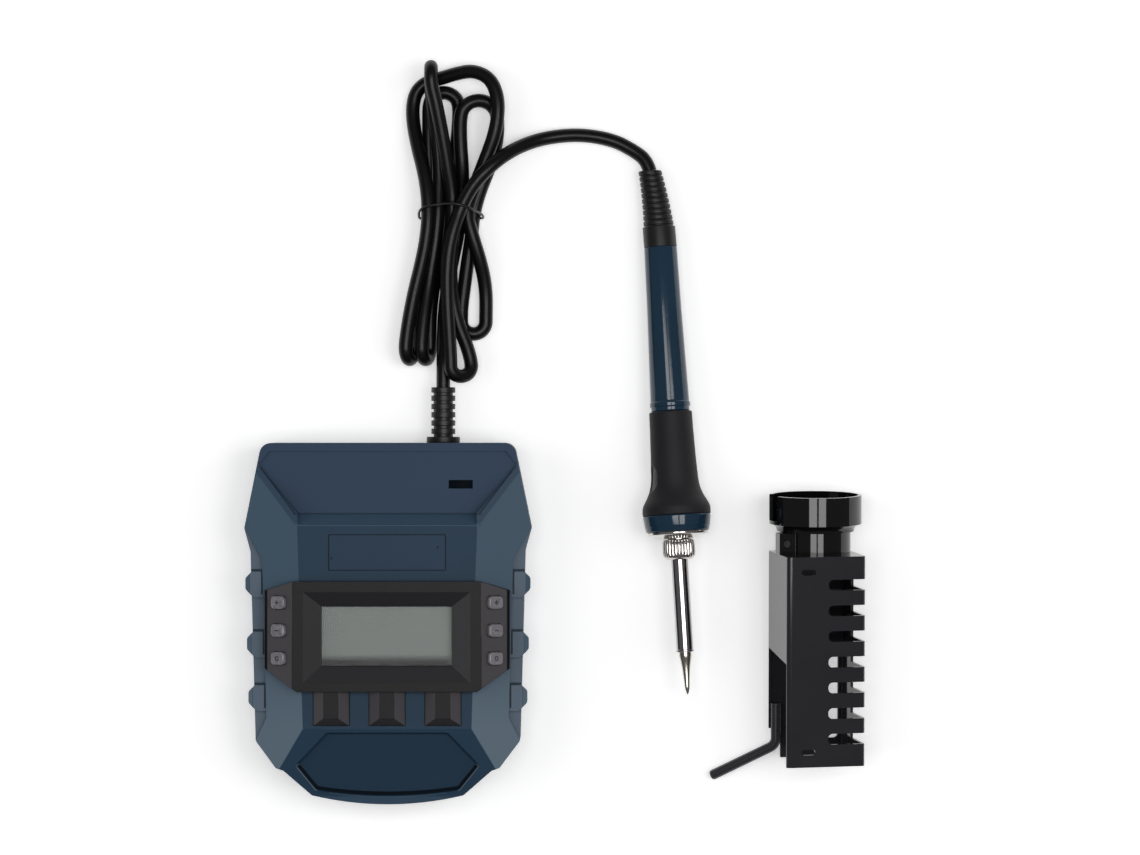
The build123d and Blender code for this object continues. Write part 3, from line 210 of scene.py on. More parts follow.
lead_end = (iron_rear + boot_shift(0)) / MM
flat = [floor_z] * 5
hank = [
    gland_exit, (23.25, 107.5, 10.5), (23.25, 115.0, 9.3), (23.25, 124.0, 5.0), (23.6, 134.0, floor_z),
    (25.0, 146.0, floor_z), (27.0, 157.0, floor_z), (29.2, 167.0, 3.3), (30.1, waist_y, waist_z),
    (31.4, 187.0, 5.0), (31.4, 197.0, 8.6), (30.6, 207.0, 9.5),
    *loop(38.6, 217.4, 8.1, 180, 0, [9.5, 9.4, 8.6, 7.2, 5.9]),
    (46.6, 209.0, 4.6), (43.6, 198.0, floor_z), (39.0, 187.0, 3.2), (36.2, waist_y, waist_z), (35.2, 166.0, 3.2),
    (33.4, 155.0, floor_z), (32.0, 144.0, floor_z), (31.0, 136.5, floor_z), (30.9, 132.2, floor_z),
    *loop(36.2, 130.0, 5.3, 180, 360, flat),
    (41.5, 132.4, floor_z), (41.6, 137.0, 3.2), (41.5, 143.0, 3.8), (40.6, 150.0, 5.4), (38.6, 158.0, 8.0),
    (35.6, 167.5, 9.8), (33.15, waist_y, waist_z + 5.5), (35.2, 184.0, 9.2), (38.3, 192.0, 9.5),
    (41.8, 201.0, 10.2), (45.2, 210.0, 11.8), (47.0, 219.0, 12.6), (46.7, 228.0, 12.2), (43.2, 235.4, 10.8),
    (36.0, 238.6, 8.4), (28.6, 237.4, 6.0), (21.8, 235.4, 4.2), (15.5, 233.8, 3.3), (11.0, 229.6, floor_z),
    (9.6, 222.5, 3.3), (10.3, 214.0, 4.8), (12.2, 205.0, 7.8), (14.6, 196.0, 10.8), (16.3, 187.0, 12.8),
    (17.0, waist_y, waist_z + 9.9), (16.1, 166.0, 14.0), (13.9, 155.0, 13.6), (11.1, 144.0, 13.0),
    (8.8, 133.0, 12.6), (7.0, 121.0, 12.6),
    *fold(7.0, 12.6, 10.2, floor_z, 118.6, -1),
    (10.2, 121.0, floor_z), (10.6, 133.0, floor_z), (12.4, 147.0, floor_z), (15.2, 161.0, floor_z),
    (17.9, waist_y, waist_z), (17.5, 190.0, 3.2), (16.7, 205.0, floor_z), (16.8, 216.0, floor_z),
    *loop(23.3, 222.8, 6.5, 180, 0, flat),
    (29.8, 217.0, floor_z), (28.9, 207.0, floor_z), (26.8, 195.0, floor_z), (24.8, 186.0, 3.3),
    (24.0, waist_y, waist_z), (22.8, 167.0, 3.3), (20.6, 156.0, floor_z), (18.6, 145.0, floor_z),
    (17.3, 133.0, floor_z), (17.2, 121.0, floor_z),
    *fold(17.2, floor_z, 13.8, 12.6, 118.6, -1),
    (13.8, 121.0, 12.6), (14.8, 132.0, 11.6), (16.5, 144.0, 9.6), (18.2, 155.0, 9.0), (20.0, 166.0, 9.2),
    (20.95, waist_y, waist_z + 5.4), (21.0, 186.0, 8.6), (21.3, 197.0, 7.8), (20.4, 208.0, 8.3), (18.8, 220.0, 9.5),
    (17.9, 232.0, 9.9),
    *fold(17.9, 9.9, 18.2, 19.5, 234.9, 1),
    (18.2, 232.0, 19.5), (20.0, 225.0, 18.4), (22.0, 215.0, 16.6), (23.8, 205.0, 14.8), (25.4, 195.0, 12.8),
    (27.1, 185.5, 10.6), (27.05, waist_y, waist_z + 5.4), (26.6, 166.0, 9.6), (26.2, 152.0, 9.3),
    (27.0, 139.0, 9.4), (29.8, 128.0, 9.4), (33.4, 119.5, 9.3), (35.3, 112.5, 9.3),
    *loop(30.9, 110.6, 4.4, 0, -180, [9.8, 11.0, 12.9, 14.8, 15.4]),
    (26.5, 112.5, 15.5), (26.0, 122.0, 15.6), (25.2, 135.0, 15.6), (24.8, 148.0, 15.6), (25.6, 160.0, 15.8),
    (27.6, 169.0, 15.9), (30.1, waist_y, waist_z + 10.9),
]
lead = [
    (32.8, 183.0, 15.5), (36.7, 189.3, 16.2), (42.5, 195.6, 16.6), (49.0, 201.2, 14.2), (57.0, 206.1, 8.8),
    (67.5, 209.8, 4.6), (82.0, 211.3, floor_z), (96.5, 209.0, floor_z), (106.3, 203.8, 3.8),
    (lead_end.x - 1.3, lead_end.y + 4.4, 4.8), tuple(lead_end),
]
cord_route = [mm(*point) for point in hank + lead]
cord_steps = 8
cord_line = spline_points("cord_line", cord_route, cord_steps)
cord = tube("cord", cord_line, [cord_d / 2 * MM] * len(cord_line), cord_sides)
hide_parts("cord_hank", "cord_lead")

# Wire tie round the waist, leaning back at its top, its two ends under the hank; y is given from the waist
tie_r = 0.55
tie_sides = 10
tie_steps = 10
tie_route = [
    (29.0, 0.5, 0.65), (24.0, 0.3, 0.65), (18.5, -0.2, 0.65), (15.4, -1.0, 1.2), (13.6, -2.0, 3.4),
    (12.9, -2.2, 6.4), (12.6, -1.2, 9.6), (12.8, 0.2, 13.0), (13.8, 1.6, 16.2), (16.6, 2.6, 17.9),
    (20.4, 3.2, 18.3), (24.2, 3.7, 18.6), (27.6, 3.7, 19.1), (31.0, 3.2, 19.4), (34.2, 2.2, 18.2),
    (36.4, 1.0, 15.0), (38.4, 0.2, 11.4), (40.0, -0.6, 7.8), (40.5, -1.6, 4.8), (39.8, -2.0, 2.2),
    (37.4, -1.4, 0.8), (33.0, -1.0, 0.65), (27.0, -1.0, 0.65),
]
tie_line = spline_points("tie_line", [mm(x, waist_y + y, z) for x, y, z in tie_route], tie_steps)
tie = tube("tie_wire", tie_line, [tie_r * MM] * len(tie_line), tie_sides, "station")
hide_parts("cord_tie")


# Materials

def srgb(red, green, blue):
    """A colour written as 0 to 255 values."""
    def level(value):
        share = value / 255
        return share / 12.92 if share <= 0.04045 else ((share + 0.055) / 1.055) ** 2.4
    return (level(red), level(green), level(blue), 1.0)


def shade(colour, factor):
    return tuple(min(1.0, c * factor) for c in colour[:3]) + (1.0,)


def set_inputs(node, values):
    for socket, value in values.items():
        node.inputs[socket].default_value = value


def new_material(name, values):
    """A material with its node tree and its shader, whose input values are set."""
    material = bpy.data.materials.new(name)
    material.use_nodes = True
    shader = material.node_tree.nodes["Principled BSDF"]
    set_inputs(shader, values)
    return material, material.node_tree, shader


def add_node(tree, kind, values=None, operation=None):
    """A shader node with its operation and input values set."""
    node = tree.nodes.new("ShaderNode" + kind)
    if operation:
        node.operation = operation
    set_inputs(node, values or {})
    return node


def add_ramp(tree, source, low_colour, high_colour, start=0.0, end=1.0):
    """The colour that a source picks between two, over a span."""
    ramp = add_node(tree, "ValToRGB")
    low_end, high_end = ramp.color_ramp.elements
    low_end.position, low_end.color = start, low_colour
    high_end.position, high_end.color = end, high_colour
    tree.links.new(source, ramp.inputs["Fac"])
    return ramp.outputs["Color"]


def add_range(tree, source, values):
    """A source carried from one span to another."""
    span = add_node(tree, "MapRange", values)
    tree.links.new(source, span.inputs["Value"])
    return span.outputs["Result"]


def combined(tree, operation, first, second):
    """Two values joined by an operation."""
    node = add_node(tree, "Math", operation=operation)
    tree.links.new(first, node.inputs[0])
    tree.links.new(second, node.inputs[1])
    return node.outputs["Value"]


def surface(name, colour, rough, metal=0.0, grain=900.0, bump=0.05, spread=0.12, rough_spread=0.06, depth=0.0002,
            blotch=35.0, specular=0.5):
    """A moulded, painted or plated surface: slow colour drift, fine grain in its bump and gloss."""
    material, tree, shader = new_material(name, {"Metallic": metal, "Specular IOR Level": specular})
    link = tree.links.new
    coords = add_node(tree, "TexCoord").outputs["Object"]
    drift = add_node(tree, "TexNoise", {"Scale": blotch, "Detail": 4.0})
    link(coords, drift.inputs["Vector"])
    tone = add_ramp(tree, drift.outputs["Fac"], shade(colour, 1 - spread), shade(colour, 1 + spread), 0.3, 0.7)
    link(tone, shader.inputs["Base Color"])
    fine = add_node(tree, "TexNoise", {"Scale": grain, "Detail": 3.0})
    link(coords, fine.inputs["Vector"])
    gloss_span = {"To Min": max(0.02, rough - rough_spread), "To Max": min(1.0, rough + rough_spread)}
    link(add_range(tree, fine.outputs["Fac"], gloss_span), shader.inputs["Roughness"])
    relief = add_node(tree, "Bump", {"Strength": bump, "Distance": depth})
    link(fine.outputs["Fac"], relief.inputs["Height"])
    link(relief.outputs["Normal"], shader.inputs["Normal"])
    return material


fine_depth = 0.0001
housing_blue = surface(
    "housing_blue", srgb(34, 56, 75), 0.5, grain=2600, bump=0.16, depth=fine_depth, spread=0.05, specular=0.16
)
plate_blue = surface(
    "plate_blue", srgb(33, 55, 75), 0.42, grain=2200, bump=0.08, depth=fine_depth, spread=0.04, specular=0.12
)
base_blue = surface(
    "base_blue", srgb(38, 58, 76), 0.55, grain=2400, bump=0.2, depth=fine_depth, spread=0.05, specular=0.2
)
# A lighter tone that the rounded edges take: painted highlight
edge_highlight_blue = surface(
    "edge_highlight_blue", srgb(58, 78, 95), 0.45, grain=2600, bump=0.1, depth=fine_depth, spread=0.08, specular=0.2
)
bezel_black = surface(
    "bezel_black", srgb(15, 15, 17), 0.42, grain=2800, bump=0.2, depth=fine_depth, spread=0.08, specular=0.18
)
cord_black = surface("cord_black", srgb(12, 12, 14), 0.32, grain=700, blotch=60, specular=0.28)
tie_black = surface("tie_black", srgb(18, 18, 19), 0.35, bump=0.1)
boot_black = surface("boot_black", srgb(24, 24, 26), 0.4, grain=1500, bump=0.12, specular=0.4)
grip_black = surface(
    "grip_black", srgb(29, 28, 31), 0.6, grain=1900, bump=0.4, depth=0.00015, spread=0.15, specular=0.3
)
handle_blue = surface("handle_blue", srgb(24, 48, 66), 0.1, grain=500, bump=0.015, spread=0.1, rough_spread=0.03)
plated = surface(
    "plated", srgb(214, 210, 206), 0.14, metal=1.0, grain=600, bump=0.03, spread=0.06, rough_spread=0.05
)
polished = surface("polished", srgb(190, 186, 188), 0.1, metal=1.0, grain=400, bump=0.02, spread=0.05)
tip_metal = surface("tip_metal", srgb(205, 200, 190), 0.18, metal=1.0, grain=700, bump=0.04, spread=0.1)
enamel = surface("enamel", srgb(37, 36, 40), 0.09, bump=0.02, spread=0.1, rough_spread=0.03)
# A lighter tone that the rounded edges of the holder's box take: painted highlight
edge_highlight_enamel = surface("edge_highlight_enamel", srgb(48, 47, 52), 0.2, bump=0.02, spread=0.1, rough_spread=0.05)
rod_black = surface("rod_black", srgb(46, 45, 49), 0.28, bump=0.01, spread=0.06, rough_spread=0.02)
black_steel = surface("black_steel", srgb(46, 46, 48), 0.35, metal=1.0, grain=1500, bump=0.1)
gloss_enamel = surface("gloss_enamel", srgb(12, 12, 13), 0.06, grain=500, bump=0.01, spread=0.1, rough_spread=0.02)
dark_plastic = surface("dark_plastic", srgb(18, 18, 19), 0.5, grain=1200, bump=0.1)
board_green = surface("board_green", srgb(24, 78, 48), 0.35, grain=800, bump=0.08, spread=0.25, blotch=220)
copper = surface("copper", srgb(168, 92, 50), 0.3, metal=1.0, grain=1200, bump=0.3)
can_blue = surface("can_blue", srgb(30, 34, 60), 0.35, grain=500, bump=0.03)
bare_metal = surface("bare_metal", srgb(190, 190, 194), 0.32, metal=1.0, grain=1500, bump=0.12)
contact = surface("contact", srgb(206, 196, 170), 0.25, metal=1.0, grain=1300, bump=0.06)
screw_steel = surface("screw_steel", srgb(170, 170, 172), 0.3, metal=1.0, grain=1500, bump=0.1)
ceramic = surface("ceramic", srgb(232, 228, 218), 0.4, bump=0.08, spread=0.04)
lcd_grey = surface("lcd_grey", srgb(141, 149, 145), 0.5, grain=300, bump=0.0, spread=0.03, blotch=14, specular=0.2)
button_mark = surface("button_mark", srgb(52, 50, 54), 0.35, grain=1200, bump=0.04)
button_grey = surface("button_grey", srgb(120, 117, 122), 0.2, grain=1200, bump=0.04, spread=0.22, blotch=520)
set_inputs(button_grey.node_tree.nodes["Principled BSDF"], {
    "Subsurface Weight": 0.35, "Subsurface Radius": (0.002, 0.002, 0.002), "Coat Weight": 0.4, "Coat Roughness": 0.1,
})

glass, glass_tree, glass_shader = new_material("window_glass", {"Alpha": 0.12})
glass_noise = add_node(glass_tree, "TexNoise", {"Scale": 40.0}).outputs["Fac"]
glass_tint = add_ramp(glass_tree, glass_noise, srgb(40, 44, 42), srgb(52, 56, 54))
glass_gloss = add_range(glass_tree, glass_noise, {"To Min": 0.03, "To Max": 0.08})
glass_tree.links.new(glass_tint, glass_shader.inputs["Base Color"])
glass_tree.links.new(glass_gloss, glass_shader.inputs["Roughness"])

# Sockets of the Mix node for colours
MIX_FIRST, MIX_SECOND, MIX_RESULT = 6, 7, 2


def masked_tone(material, colour, *tests):
    """Another tone where every test holds: a test is a kind, a direction and the span over which it comes in.

    "normal" and "lean" test how the surface faces, "place" and "wide" where it is ("lean" and "wide" alike on both
    sides of the middle), and "near" its distance from a point.
    """
    tree = material.node_tree
    link = tree.links.new
    base_colour = tree.nodes["Principled BSDF"].inputs["Base Color"]
    coords = add_node(tree, "TexCoord").outputs
    share = None
    for kind, direction, start, end in tests:
        along = add_node(tree, "VectorMath", {1: direction}, "DISTANCE" if kind == "near" else "DOT_PRODUCT")
        link(coords["Normal" if kind in ("normal", "lean") else "Object"], along.inputs[0])
        value = along.outputs["Value"]
        if kind in ("lean", "wide"):
            size = add_node(tree, "Math", operation="ABSOLUTE")
            link(value, size.inputs[0])
            value = size.outputs["Value"]
        holds = add_range(tree, value, {"From Min": start, "From Max": end})
        share = holds if share is None else combined(tree, "MULTIPLY", share, holds)
    mix = add_node(tree, "Mix")
    mix.data_type = "RGBA"
    link(share, mix.inputs["Factor"])
    link(base_colour.links[0].from_socket, mix.inputs[MIX_FIRST])
    mix.inputs[MIX_SECOND].default_value = colour
    link(mix.outputs[MIX_RESULT], base_colour)


def past(way, start, end):
    """A test on the place along a direction, in mm."""
    return ("place", way, start * MM, end * MM)


def outside(start, end):
    """A test on the distance from the middle plane, in mm."""
    return ("wide", RIGHT, start * MM, end * MM)


facing_up = ("normal", UP, 0.4, 0.6)
level = ("normal", UP, 0.9, 0.96)
leaning = ("lean", RIGHT, 0.12, 0.3)
tray_lean = radians(12)
tray_up = (0, -sin(tray_lean), cos(tray_lean))

# Housing, painted light and shade: a darker floor of the tray, a lighter slope before the rear deck, a lighter front
# rim and a lighter rear deck
masked_tone(housing_blue, srgb(31, 52, 70), past(tray_up, 44.3, 43.3), past(REAR, -45.0, -45.8), level)
masked_tone(
    housing_blue, srgb(62, 84, 104), past(REAR, 41.5, 42.5), past(REAR, 48.0, 47.3), ("normal", REAR, 0.4, 0.6)
)
masked_tone(housing_blue, srgb(50, 71, 90), past(REAR, -73.3, -74.1), level)
masked_tone(housing_blue, srgb(43, 62, 84), past(REAR, 47.3, 47.6), ("normal", UP, 0.9, 0.97))
# Housing: painted light on the side facets, paler towards the front, and painted shade on the wall of the tray
masked_tone(housing_blue, srgb(68, 87, 103), leaning, facing_up)
masked_tone(housing_blue, srgb(92, 108, 122), leaning, facing_up, past(REAR, 10.0, -45.0))
masked_tone(
    housing_blue, srgb(14, 22, 30), past((0.875, 0.484, 0), 8.5, 8.1), past((-0.875, 0.484, 0), 8.5, 8.1),
    past(REAR, -44.8, -45.6), ("normal", UP, 0.95, 0.9), past(tray_up, 45.0, 44.7), ("normal", REAR, -0.05, 0.1),
)
# Bezel, painted light and shade: lighter tones on its slopes, most on those that face left, less on those that face
# right and front or rear, most of all on the sides of the legs and wings, and darker outer ends
masked_tone(bezel_black, srgb(55, 55, 57), ("normal", LEFT, 0.12, 0.2), facing_up)
masked_tone(bezel_black, srgb(29, 29, 31), ("normal", RIGHT, 0.12, 0.2), facing_up)
masked_tone(bezel_black, srgb(33, 32, 35), ("lean", REAR, 0.15, 0.22), facing_up)
masked_tone(bezel_black, srgb(72, 70, 73), ("lean", RIGHT, 0.4, 0.46), facing_up)
masked_tone(bezel_black, srgb(9, 9, 11), outside(50.9, 51.3))
# Housing: painted light on the tops of the lugs on the skirt, and a painted shade line for a groove on each lug's inner
# and rear side
masked_tone(
    housing_blue, srgb(86, 100, 114), past(UP, 31.6, 31.2), past(REAR, 44.5, 43.5), ("normal", UP, 0.965, 0.985),
    outside(49.5, 50.0),
)
groove_shade = srgb(24, 38, 51)
low_lug = past(UP, 31.4, 31.1)
for lug_x, lug_y in ((53.4, 17.3), (52.7, -8.4), (52.1, -31.3)):
    inner_side = outside(lug_x - 0.1, lug_x + 0.1)
    rear_end = past(REAR, lug_y + 6.3, lug_y + 6.0)
    masked_tone(
        housing_blue, groove_shade, low_lug, inner_side, outside(lug_x + 0.9, lug_x + 0.7),
        past(REAR, lug_y - 4.8, lug_y - 4.4), rear_end,
    )
    masked_tone(
        housing_blue, groove_shade, low_lug, inner_side, outside(lug_x + 6.2, lug_x + 5.5),
        past(REAR, lug_y + 5.0, lug_y + 5.3), rear_end,
    )
# Housing: painted light and shade at the step of the rear deck: a lighter band and a darker line along its slanting
# sides, then a darker and a lighter line along its front
for side in (-1, 1):
    across = (0.794 * side, -0.608, 0)
    masked_tone(
        housing_blue, srgb(53, 71, 88), past(across, 5.5, 5.1), past(REAR, 43.0, 43.4), leaning, facing_up,
        past((side, 0, 0), 30.0, 31.0),
    )
    masked_tone(
        housing_blue, srgb(28, 44, 58), past(across, 1.95, 2.15), past(across, 2.85, 2.65), past(REAR, 46.5, 47.0),
        outside(38.5, 39.0), past(REAR, 68.0, 67.0),
    )
inside_facets = outside(40.5, 40.0)
masked_tone(housing_blue, srgb(34, 50, 66), past(REAR, 46.9, 47.1), past(REAR, 47.7, 47.5), inside_facets)
masked_tone(housing_blue, srgb(60, 80, 97), past(REAR, 42.0, 42.3), past(REAR, 43.3, 43.0), inside_facets)
# Name plate: painted shade in the gap round its outline, and two small dark dots, painted shade of pin pits
plate_low, plate_high = (Vector(corner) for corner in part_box("name_plate"))
rim = 0.3 * MM
plate_sides = ((RIGHT, plate_high.x), (LEFT, -plate_low.x), (REAR, plate_high.y), (FRONT, -plate_low.y))
for way, reach in plate_sides:
    masked_tone(plate_blue, srgb(13, 24, 35), ("place", way, reach - rim, reach - rim / 2))
for pin_x, pin_y in ((-0.0237, 0.0283), (0.0215, 0.033)):
    masked_tone(plate_blue, srgb(9, 14, 20), ("near", (pin_x, pin_y, plate_high.z), 0.55 * MM, 0.3 * MM))
# Display: shade at its front and right edges
lcd_low, lcd_high = (Vector(corner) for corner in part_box("lcd_module"))
masked_tone(lcd_grey, srgb(30, 31, 30), ("place", REAR, lcd_low.y + 8.8 * MM, lcd_low.y + 5.8 * MM))
masked_tone(lcd_grey, srgb(96, 101, 96), ("place", RIGHT, lcd_high.x - 6.2 * MM, lcd_high.x - 3.0 * MM))


def dress(piece, material):
    """Gives a piece one material."""
    piece.data.materials.clear()
    piece.data.materials.append(material)


def dress_node(name, material):
    """Gives a CAD node one material, in its own slots."""
    node = nodes[name]
    if not node.material_slots:
        node.data.materials.append(material)
    for slot in node.material_slots:
        slot.link = "OBJECT"
        slot.material = material


node_materials = {
    "top_cover": housing_blue, "base_shell": base_blue, "name_plate": plate_blue, "display_bezel": bezel_black,
    "lcd_window": glass, "lcd_module": lcd_grey, "main_board": board_green, "left_button_board": board_green,
    "right_button_board": board_green, "left_tact_switches": dark_plastic, "right_tact_switches": dark_plastic,
    "inductor": copper, "capacitors": can_blue, "heat_sink": bare_metal, "buzzer": dark_plastic,
    "terminal_block": dark_plastic, "terminal_blades": contact, "housing_screws": screw_steel,
    "cord_gland": boot_black, "iron_strain_relief": boot_black, "iron_handle": handle_blue, "iron_grip": grip_black,
    "iron_nipple": plated, "iron_barrel": polished, "soldering_tip": tip_metal, "heater_element": ceramic,
    "terminal_board": board_green, "cord_stopper": dark_plastic, "barrel_nut": plated, "holder_box": enamel,
    "holder_band": gloss_enamel, "holder_cup": gloss_enamel, "clamp_screw": black_steel, "holder_rod": rod_black,
}
for name in nodes:
    dress_node(name, node_materials.get(name, button_grey if name.startswith("button") else cord_black))
dress(cord, cord_black)
dress(tie, tie_black)


# CAD forms with softened edges, in place of the sharp ones

# Points closer than these gaps are one
MERGE_GAP = 0.002 * MM
CUT_GAP = 0.0005 * MM
# Bends between faces: less is flat, less is part of a curve, less stays sharp on a faceted form
FLAT_BEND = radians(0.3)
CURVE_BEND = radians(10)
FACET_BEND = radians(15)
# The least length beside a rounded edge of a faceted form, in widths of the rounding
ROOM_IN_WIDTHS = 2.4
# The lower facets: how they face and how far to the front they are
FACET_LEAN, FACET_UP, FACET_FRONT = 0.3, 0.9, -0.03
# Where the front screw posts end, and the most that they can stand proud there
POST_X, POST_Y, POST_LOW, POST_PROUD = (0.045, 0.0525), (-0.049, -0.04), 0.03, 0.0015


def flush_posts(build):
    """Brings the tops of two inner posts level with the lower facets that they show through."""
    for side in (-1, 1):
        facet = max(
            (face for face in build.faces if side * face.normal.x > FACET_LEAN and face.normal.z > FACET_UP
             and face.calc_center_median().y < FACET_FRONT),
            key=lambda face: face.calc_area(),
        )
        middle, outward = facet.calc_center_median(), facet.normal.copy()
        for vertex in build.verts:
            x, y, z = vertex.co
            if POST_X[0] < side * x < POST_X[1] and POST_Y[0] < y < POST_Y[1] and z > POST_LOW:
                proud = (vertex.co - middle).dot(outward)
                if 0 < proud < POST_PROUD:
                    vertex.co -= outward * proud


def softened(name, width, edge=None, upward=-1.0, cuts=(), faceted=False):
    """A copy of a CAD node whose outer edges are rounded, standing for that node; its rounded edges take the edge
    material, a lighter tone that is painted highlight.

    The cuts are planes (place, normal) through a face's openings, so that each flat face stays one simple outline.
    """
    mesh = nodes[name].data.copy()
    body = node_materials.get(name, button_grey)
    mesh.materials.clear()
    mesh.materials.append(body)
    mesh.materials.append(edge or body)
    build = bmesh.new()
    build.from_mesh(mesh)
    bmesh.ops.remove_doubles(build, verts=build.verts, dist=MERGE_GAP)
    if name == "top_cover":
        flush_posts(build)
    for place, normal in cuts:
        everything = build.verts[:] + build.edges[:] + build.faces[:]
        cut = bmesh.ops.bisect_plane(build, geom=everything, plane_co=place, plane_no=normal, dist=CUT_GAP)
        for item in cut["geom_cut"]:
            if isinstance(item, bmesh.types.BMEdge):
                item.seam = True
    bmesh.ops.dissolve_limit(
        build, angle_limit=FLAT_BEND, verts=build.verts, edges=build.edges, delimit={"SEAM"}
    )
    least_bend = FACET_BEND if faceted else CURVE_BEND
    room = ROOM_IN_WIDTHS * width * MM if faceted else 0.0
    weight = build.edges.layers.float.new("bevel_weight_edge")
    for face in build.faces:
        bends = [line.calc_face_angle(0.0) for line in face.edges]
        face.smooth = not faceted or any(FLAT_BEND < bend < CURVE_BEND for bend in bends)
    for line in build.edges:
        if len(line.link_faces) == 2 and line.calc_face_angle() > CURVE_BEND:
            first, second = line.link_faces
            near = [other.calc_length() for end in line.verts for other in end.link_edges]
            outward = line.is_convex and (first.normal + second.normal).normalized().z > upward
            if outward and line.calc_face_angle() > least_bend and min(near) > room:
                line[weight] = 1.0
            else:
                line.smooth = False
    build.to_mesh(mesh)
    build.free()
    piece = add_object(name + "_form", mesh)
    bevel = piece.modifiers.new("edges", "BEVEL")
    bevel.width = width * MM
    bevel.segments = 2
    bevel.limit_method = "WEIGHT"
    bevel.use_clamp_overlap = True
    bevel.miter_outer = "MITER_ARC"
    bevel.material = 1
    normals = piece.modifiers.new("normals", "WEIGHTED_NORMAL")
    normals.weight = 100 if faceted else 50
    normals.keep_sharp = True
    depsgraph = bpy.context.evaluated_depsgraph_get()
    rounded = bpy.data.meshes.new_from_object(
        piece.evaluated_get(depsgraph), preserve_all_data_layers=True, depsgraph=depsgraph
    )
    piece.modifiers.clear()
    piece.data = rounded
    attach(piece, node_body[name])
    stand_in(name)
    return piece


cover_cuts = [(mm(0, y, 0), REAR) for y in (-60.0, -5.0, 30.8, 59.8)]
bezel_cuts = [(mm(0, -5.0, 0), REAR), (mm(-45.8, 0, 0), RIGHT), (mm(45.8, 0, 0), RIGHT)]
upper_edges = 0.1
softened("top_cover", 0.35, edge_highlight_blue, upper_edges, cover_cuts, faceted=True)
softened("base_shell", 0.25, edge_highlight_blue, upper_edges, cover_cuts, faceted=True)
softened("display_bezel", 0.25, None, upper_edges, bezel_cuts, faceted=True)
softened("name_plate", 0.15, edge_highlight_blue, upper_edges, faceted=True)
softened("holder_box", 0.35, edge_highlight_enamel, faceted=True)
for name, width in (("holder_band", 0.35), ("holder_cup", 0.4), ("cord_gland", 0.25)):
    softened(name, width)

# Buttons, whose raised marks take a darker tone
wing_lean = 0.53
mark_facing = 0.9
mark_depth = 0.08 * MM
mark_slot = 2
for name in nodes:
    if name.startswith("button_"):
        button = softened(name, 0.06)
        outward = Vector((-wing_lean if "left" in name else wing_lean, 0, 1)).normalized()
        top = max(vertex.co.dot(outward) for vertex in button.data.vertices)
        button.data.materials.append(button_mark)
        for polygon in button.data.polygons:
            if polygon.normal.dot(outward) > mark_facing and polygon.center.dot(outward) > top - mark_depth:
                polygon.material_index = mark_slot


# Turned pieces of the iron, finer than the solids that they stand for; profiles in mm

def turned(name, profile, standing_for, material, count=72, bend=False, angle=35, dent=None):
    """A piece turned about the iron's axis from (along, radius) points; a bent one follows the strain relief.

    A profile that ends where it starts makes a ring with its bore, and any other is closed by its end faces.
    """
    points = []
    closed = profile[0] == profile[-1]
    if closed:
        profile = profile[:-1]
    for s, radius in profile:
        centre = iron_rear + iron_dir * s * MM + (boot_shift(s) if bend else Vector((0, 0, 0)))
        for k in range(count):
            turn = 2 * pi * k / count
            reach = radius - (dent(s, turn, radius) if dent else 0.0)
            points.append(centre + (iron_side * cos(turn) + iron_up * sin(turn)) * reach * MM)
    piece = mesh_piece(name, points, ring_faces(len(profile), count, closed), node_body[standing_for], angle)
    dress(piece, material)
    stand_in(standing_for)
    return piece


def finer(profile, step):
    """The same profile with its long runs divided, for shapes that aren't turned all round."""
    out = [profile[0]]
    for (s0, r0), (s1, r1) in zip(profile, profile[1:]):
        parts = max(1, int(hypot(s1 - s0, r1 - r0) / step))
        out += [(s0 + (s1 - s0) * i / parts, r0 + (r1 - r0) * i / parts) for i in range(1, parts + 1)]
    return out


def eased(profile, steps=5):
    """A profile whose given corners are rounded: points are (along, radius) or (along, radius, rounding)."""
    most = 0.48
    out = []
    for i, corner in enumerate(profile):
        here = Vector(corner[:2])
        if len(corner) < 3 or i in (0, len(profile) - 1):
            out.append(tuple(here))
            continue
        before = Vector(profile[i - 1][:2])
        after = Vector(profile[i + 1][:2])
        start = here + (before - here).normalized() * min(corner[2], (before - here).length * most)
        end = here + (after - here).normalized() * min(corner[2], (after - here).length * most)
        for step in range(steps + 1):
            t = step / steps
            out.append(tuple(start * (1 - t) ** 2 + here * 2 * t * (1 - t) + end * t * t))
    return out


# Strain relief: rounded ribs on a taper, then a plain band
boot_band = 9.0
boot_ribs = 10
rib = (boot_length - boot_band) / boot_ribs
rib_depth = 0.6
rib_end, groove_start, groove_end = 0.78 * rib, 0.8 * rib, 0.98 * rib
boot = [(0.0, 3.05), (0.0, 4.6, 0.4)]
for number in range(boot_ribs):
    start = number * rib
    radius = 4.9 + 2.2 * (start + rib) / boot_length
    groove_r = radius - rib_depth
    boot += [(start + 0.12, radius, 0.4), (start + rib_end, radius, 0.4)]
    boot += [(start + groove_start, groove_r, 0.15), (start + groove_end, groove_r, 0.15)]
plug_end = boot_length + 8.0
boot += [(boot_length - 8.9, 7.05, 0.4), (boot_length, 7.1), (boot_length, 5.15), (plug_end, 5.15), (plug_end, 0.2)]
turned("strain_relief", eased(boot), "iron_strain_relief", boot_black, bend=True)

handle = eased([
    (33.35, 5.2), (33.35, 7.1, 0.5), (60.0, 7.45), (99.2, 8.38), (100.6, 8.4, 0.5), (100.9, 8.75, 0.3),
    (102.6, 8.75, 0.3), (102.9, 8.3, 0.2), (104.4, 8.3, 0.3), (104.75, 7.9, 0.2), (104.75, 7.6), (149.75, 7.6),
    (149.75, 14.55, 0.5), (150.4, 14.7, 0.6), (154.6, 14.1, 0.5), (154.8, 13.95, 0.2), (156.8, 13.6, 0.7),
    (156.8, 5.2),
])
turned("handle", handle + [handle[0]], "iron_handle", handle_blue)

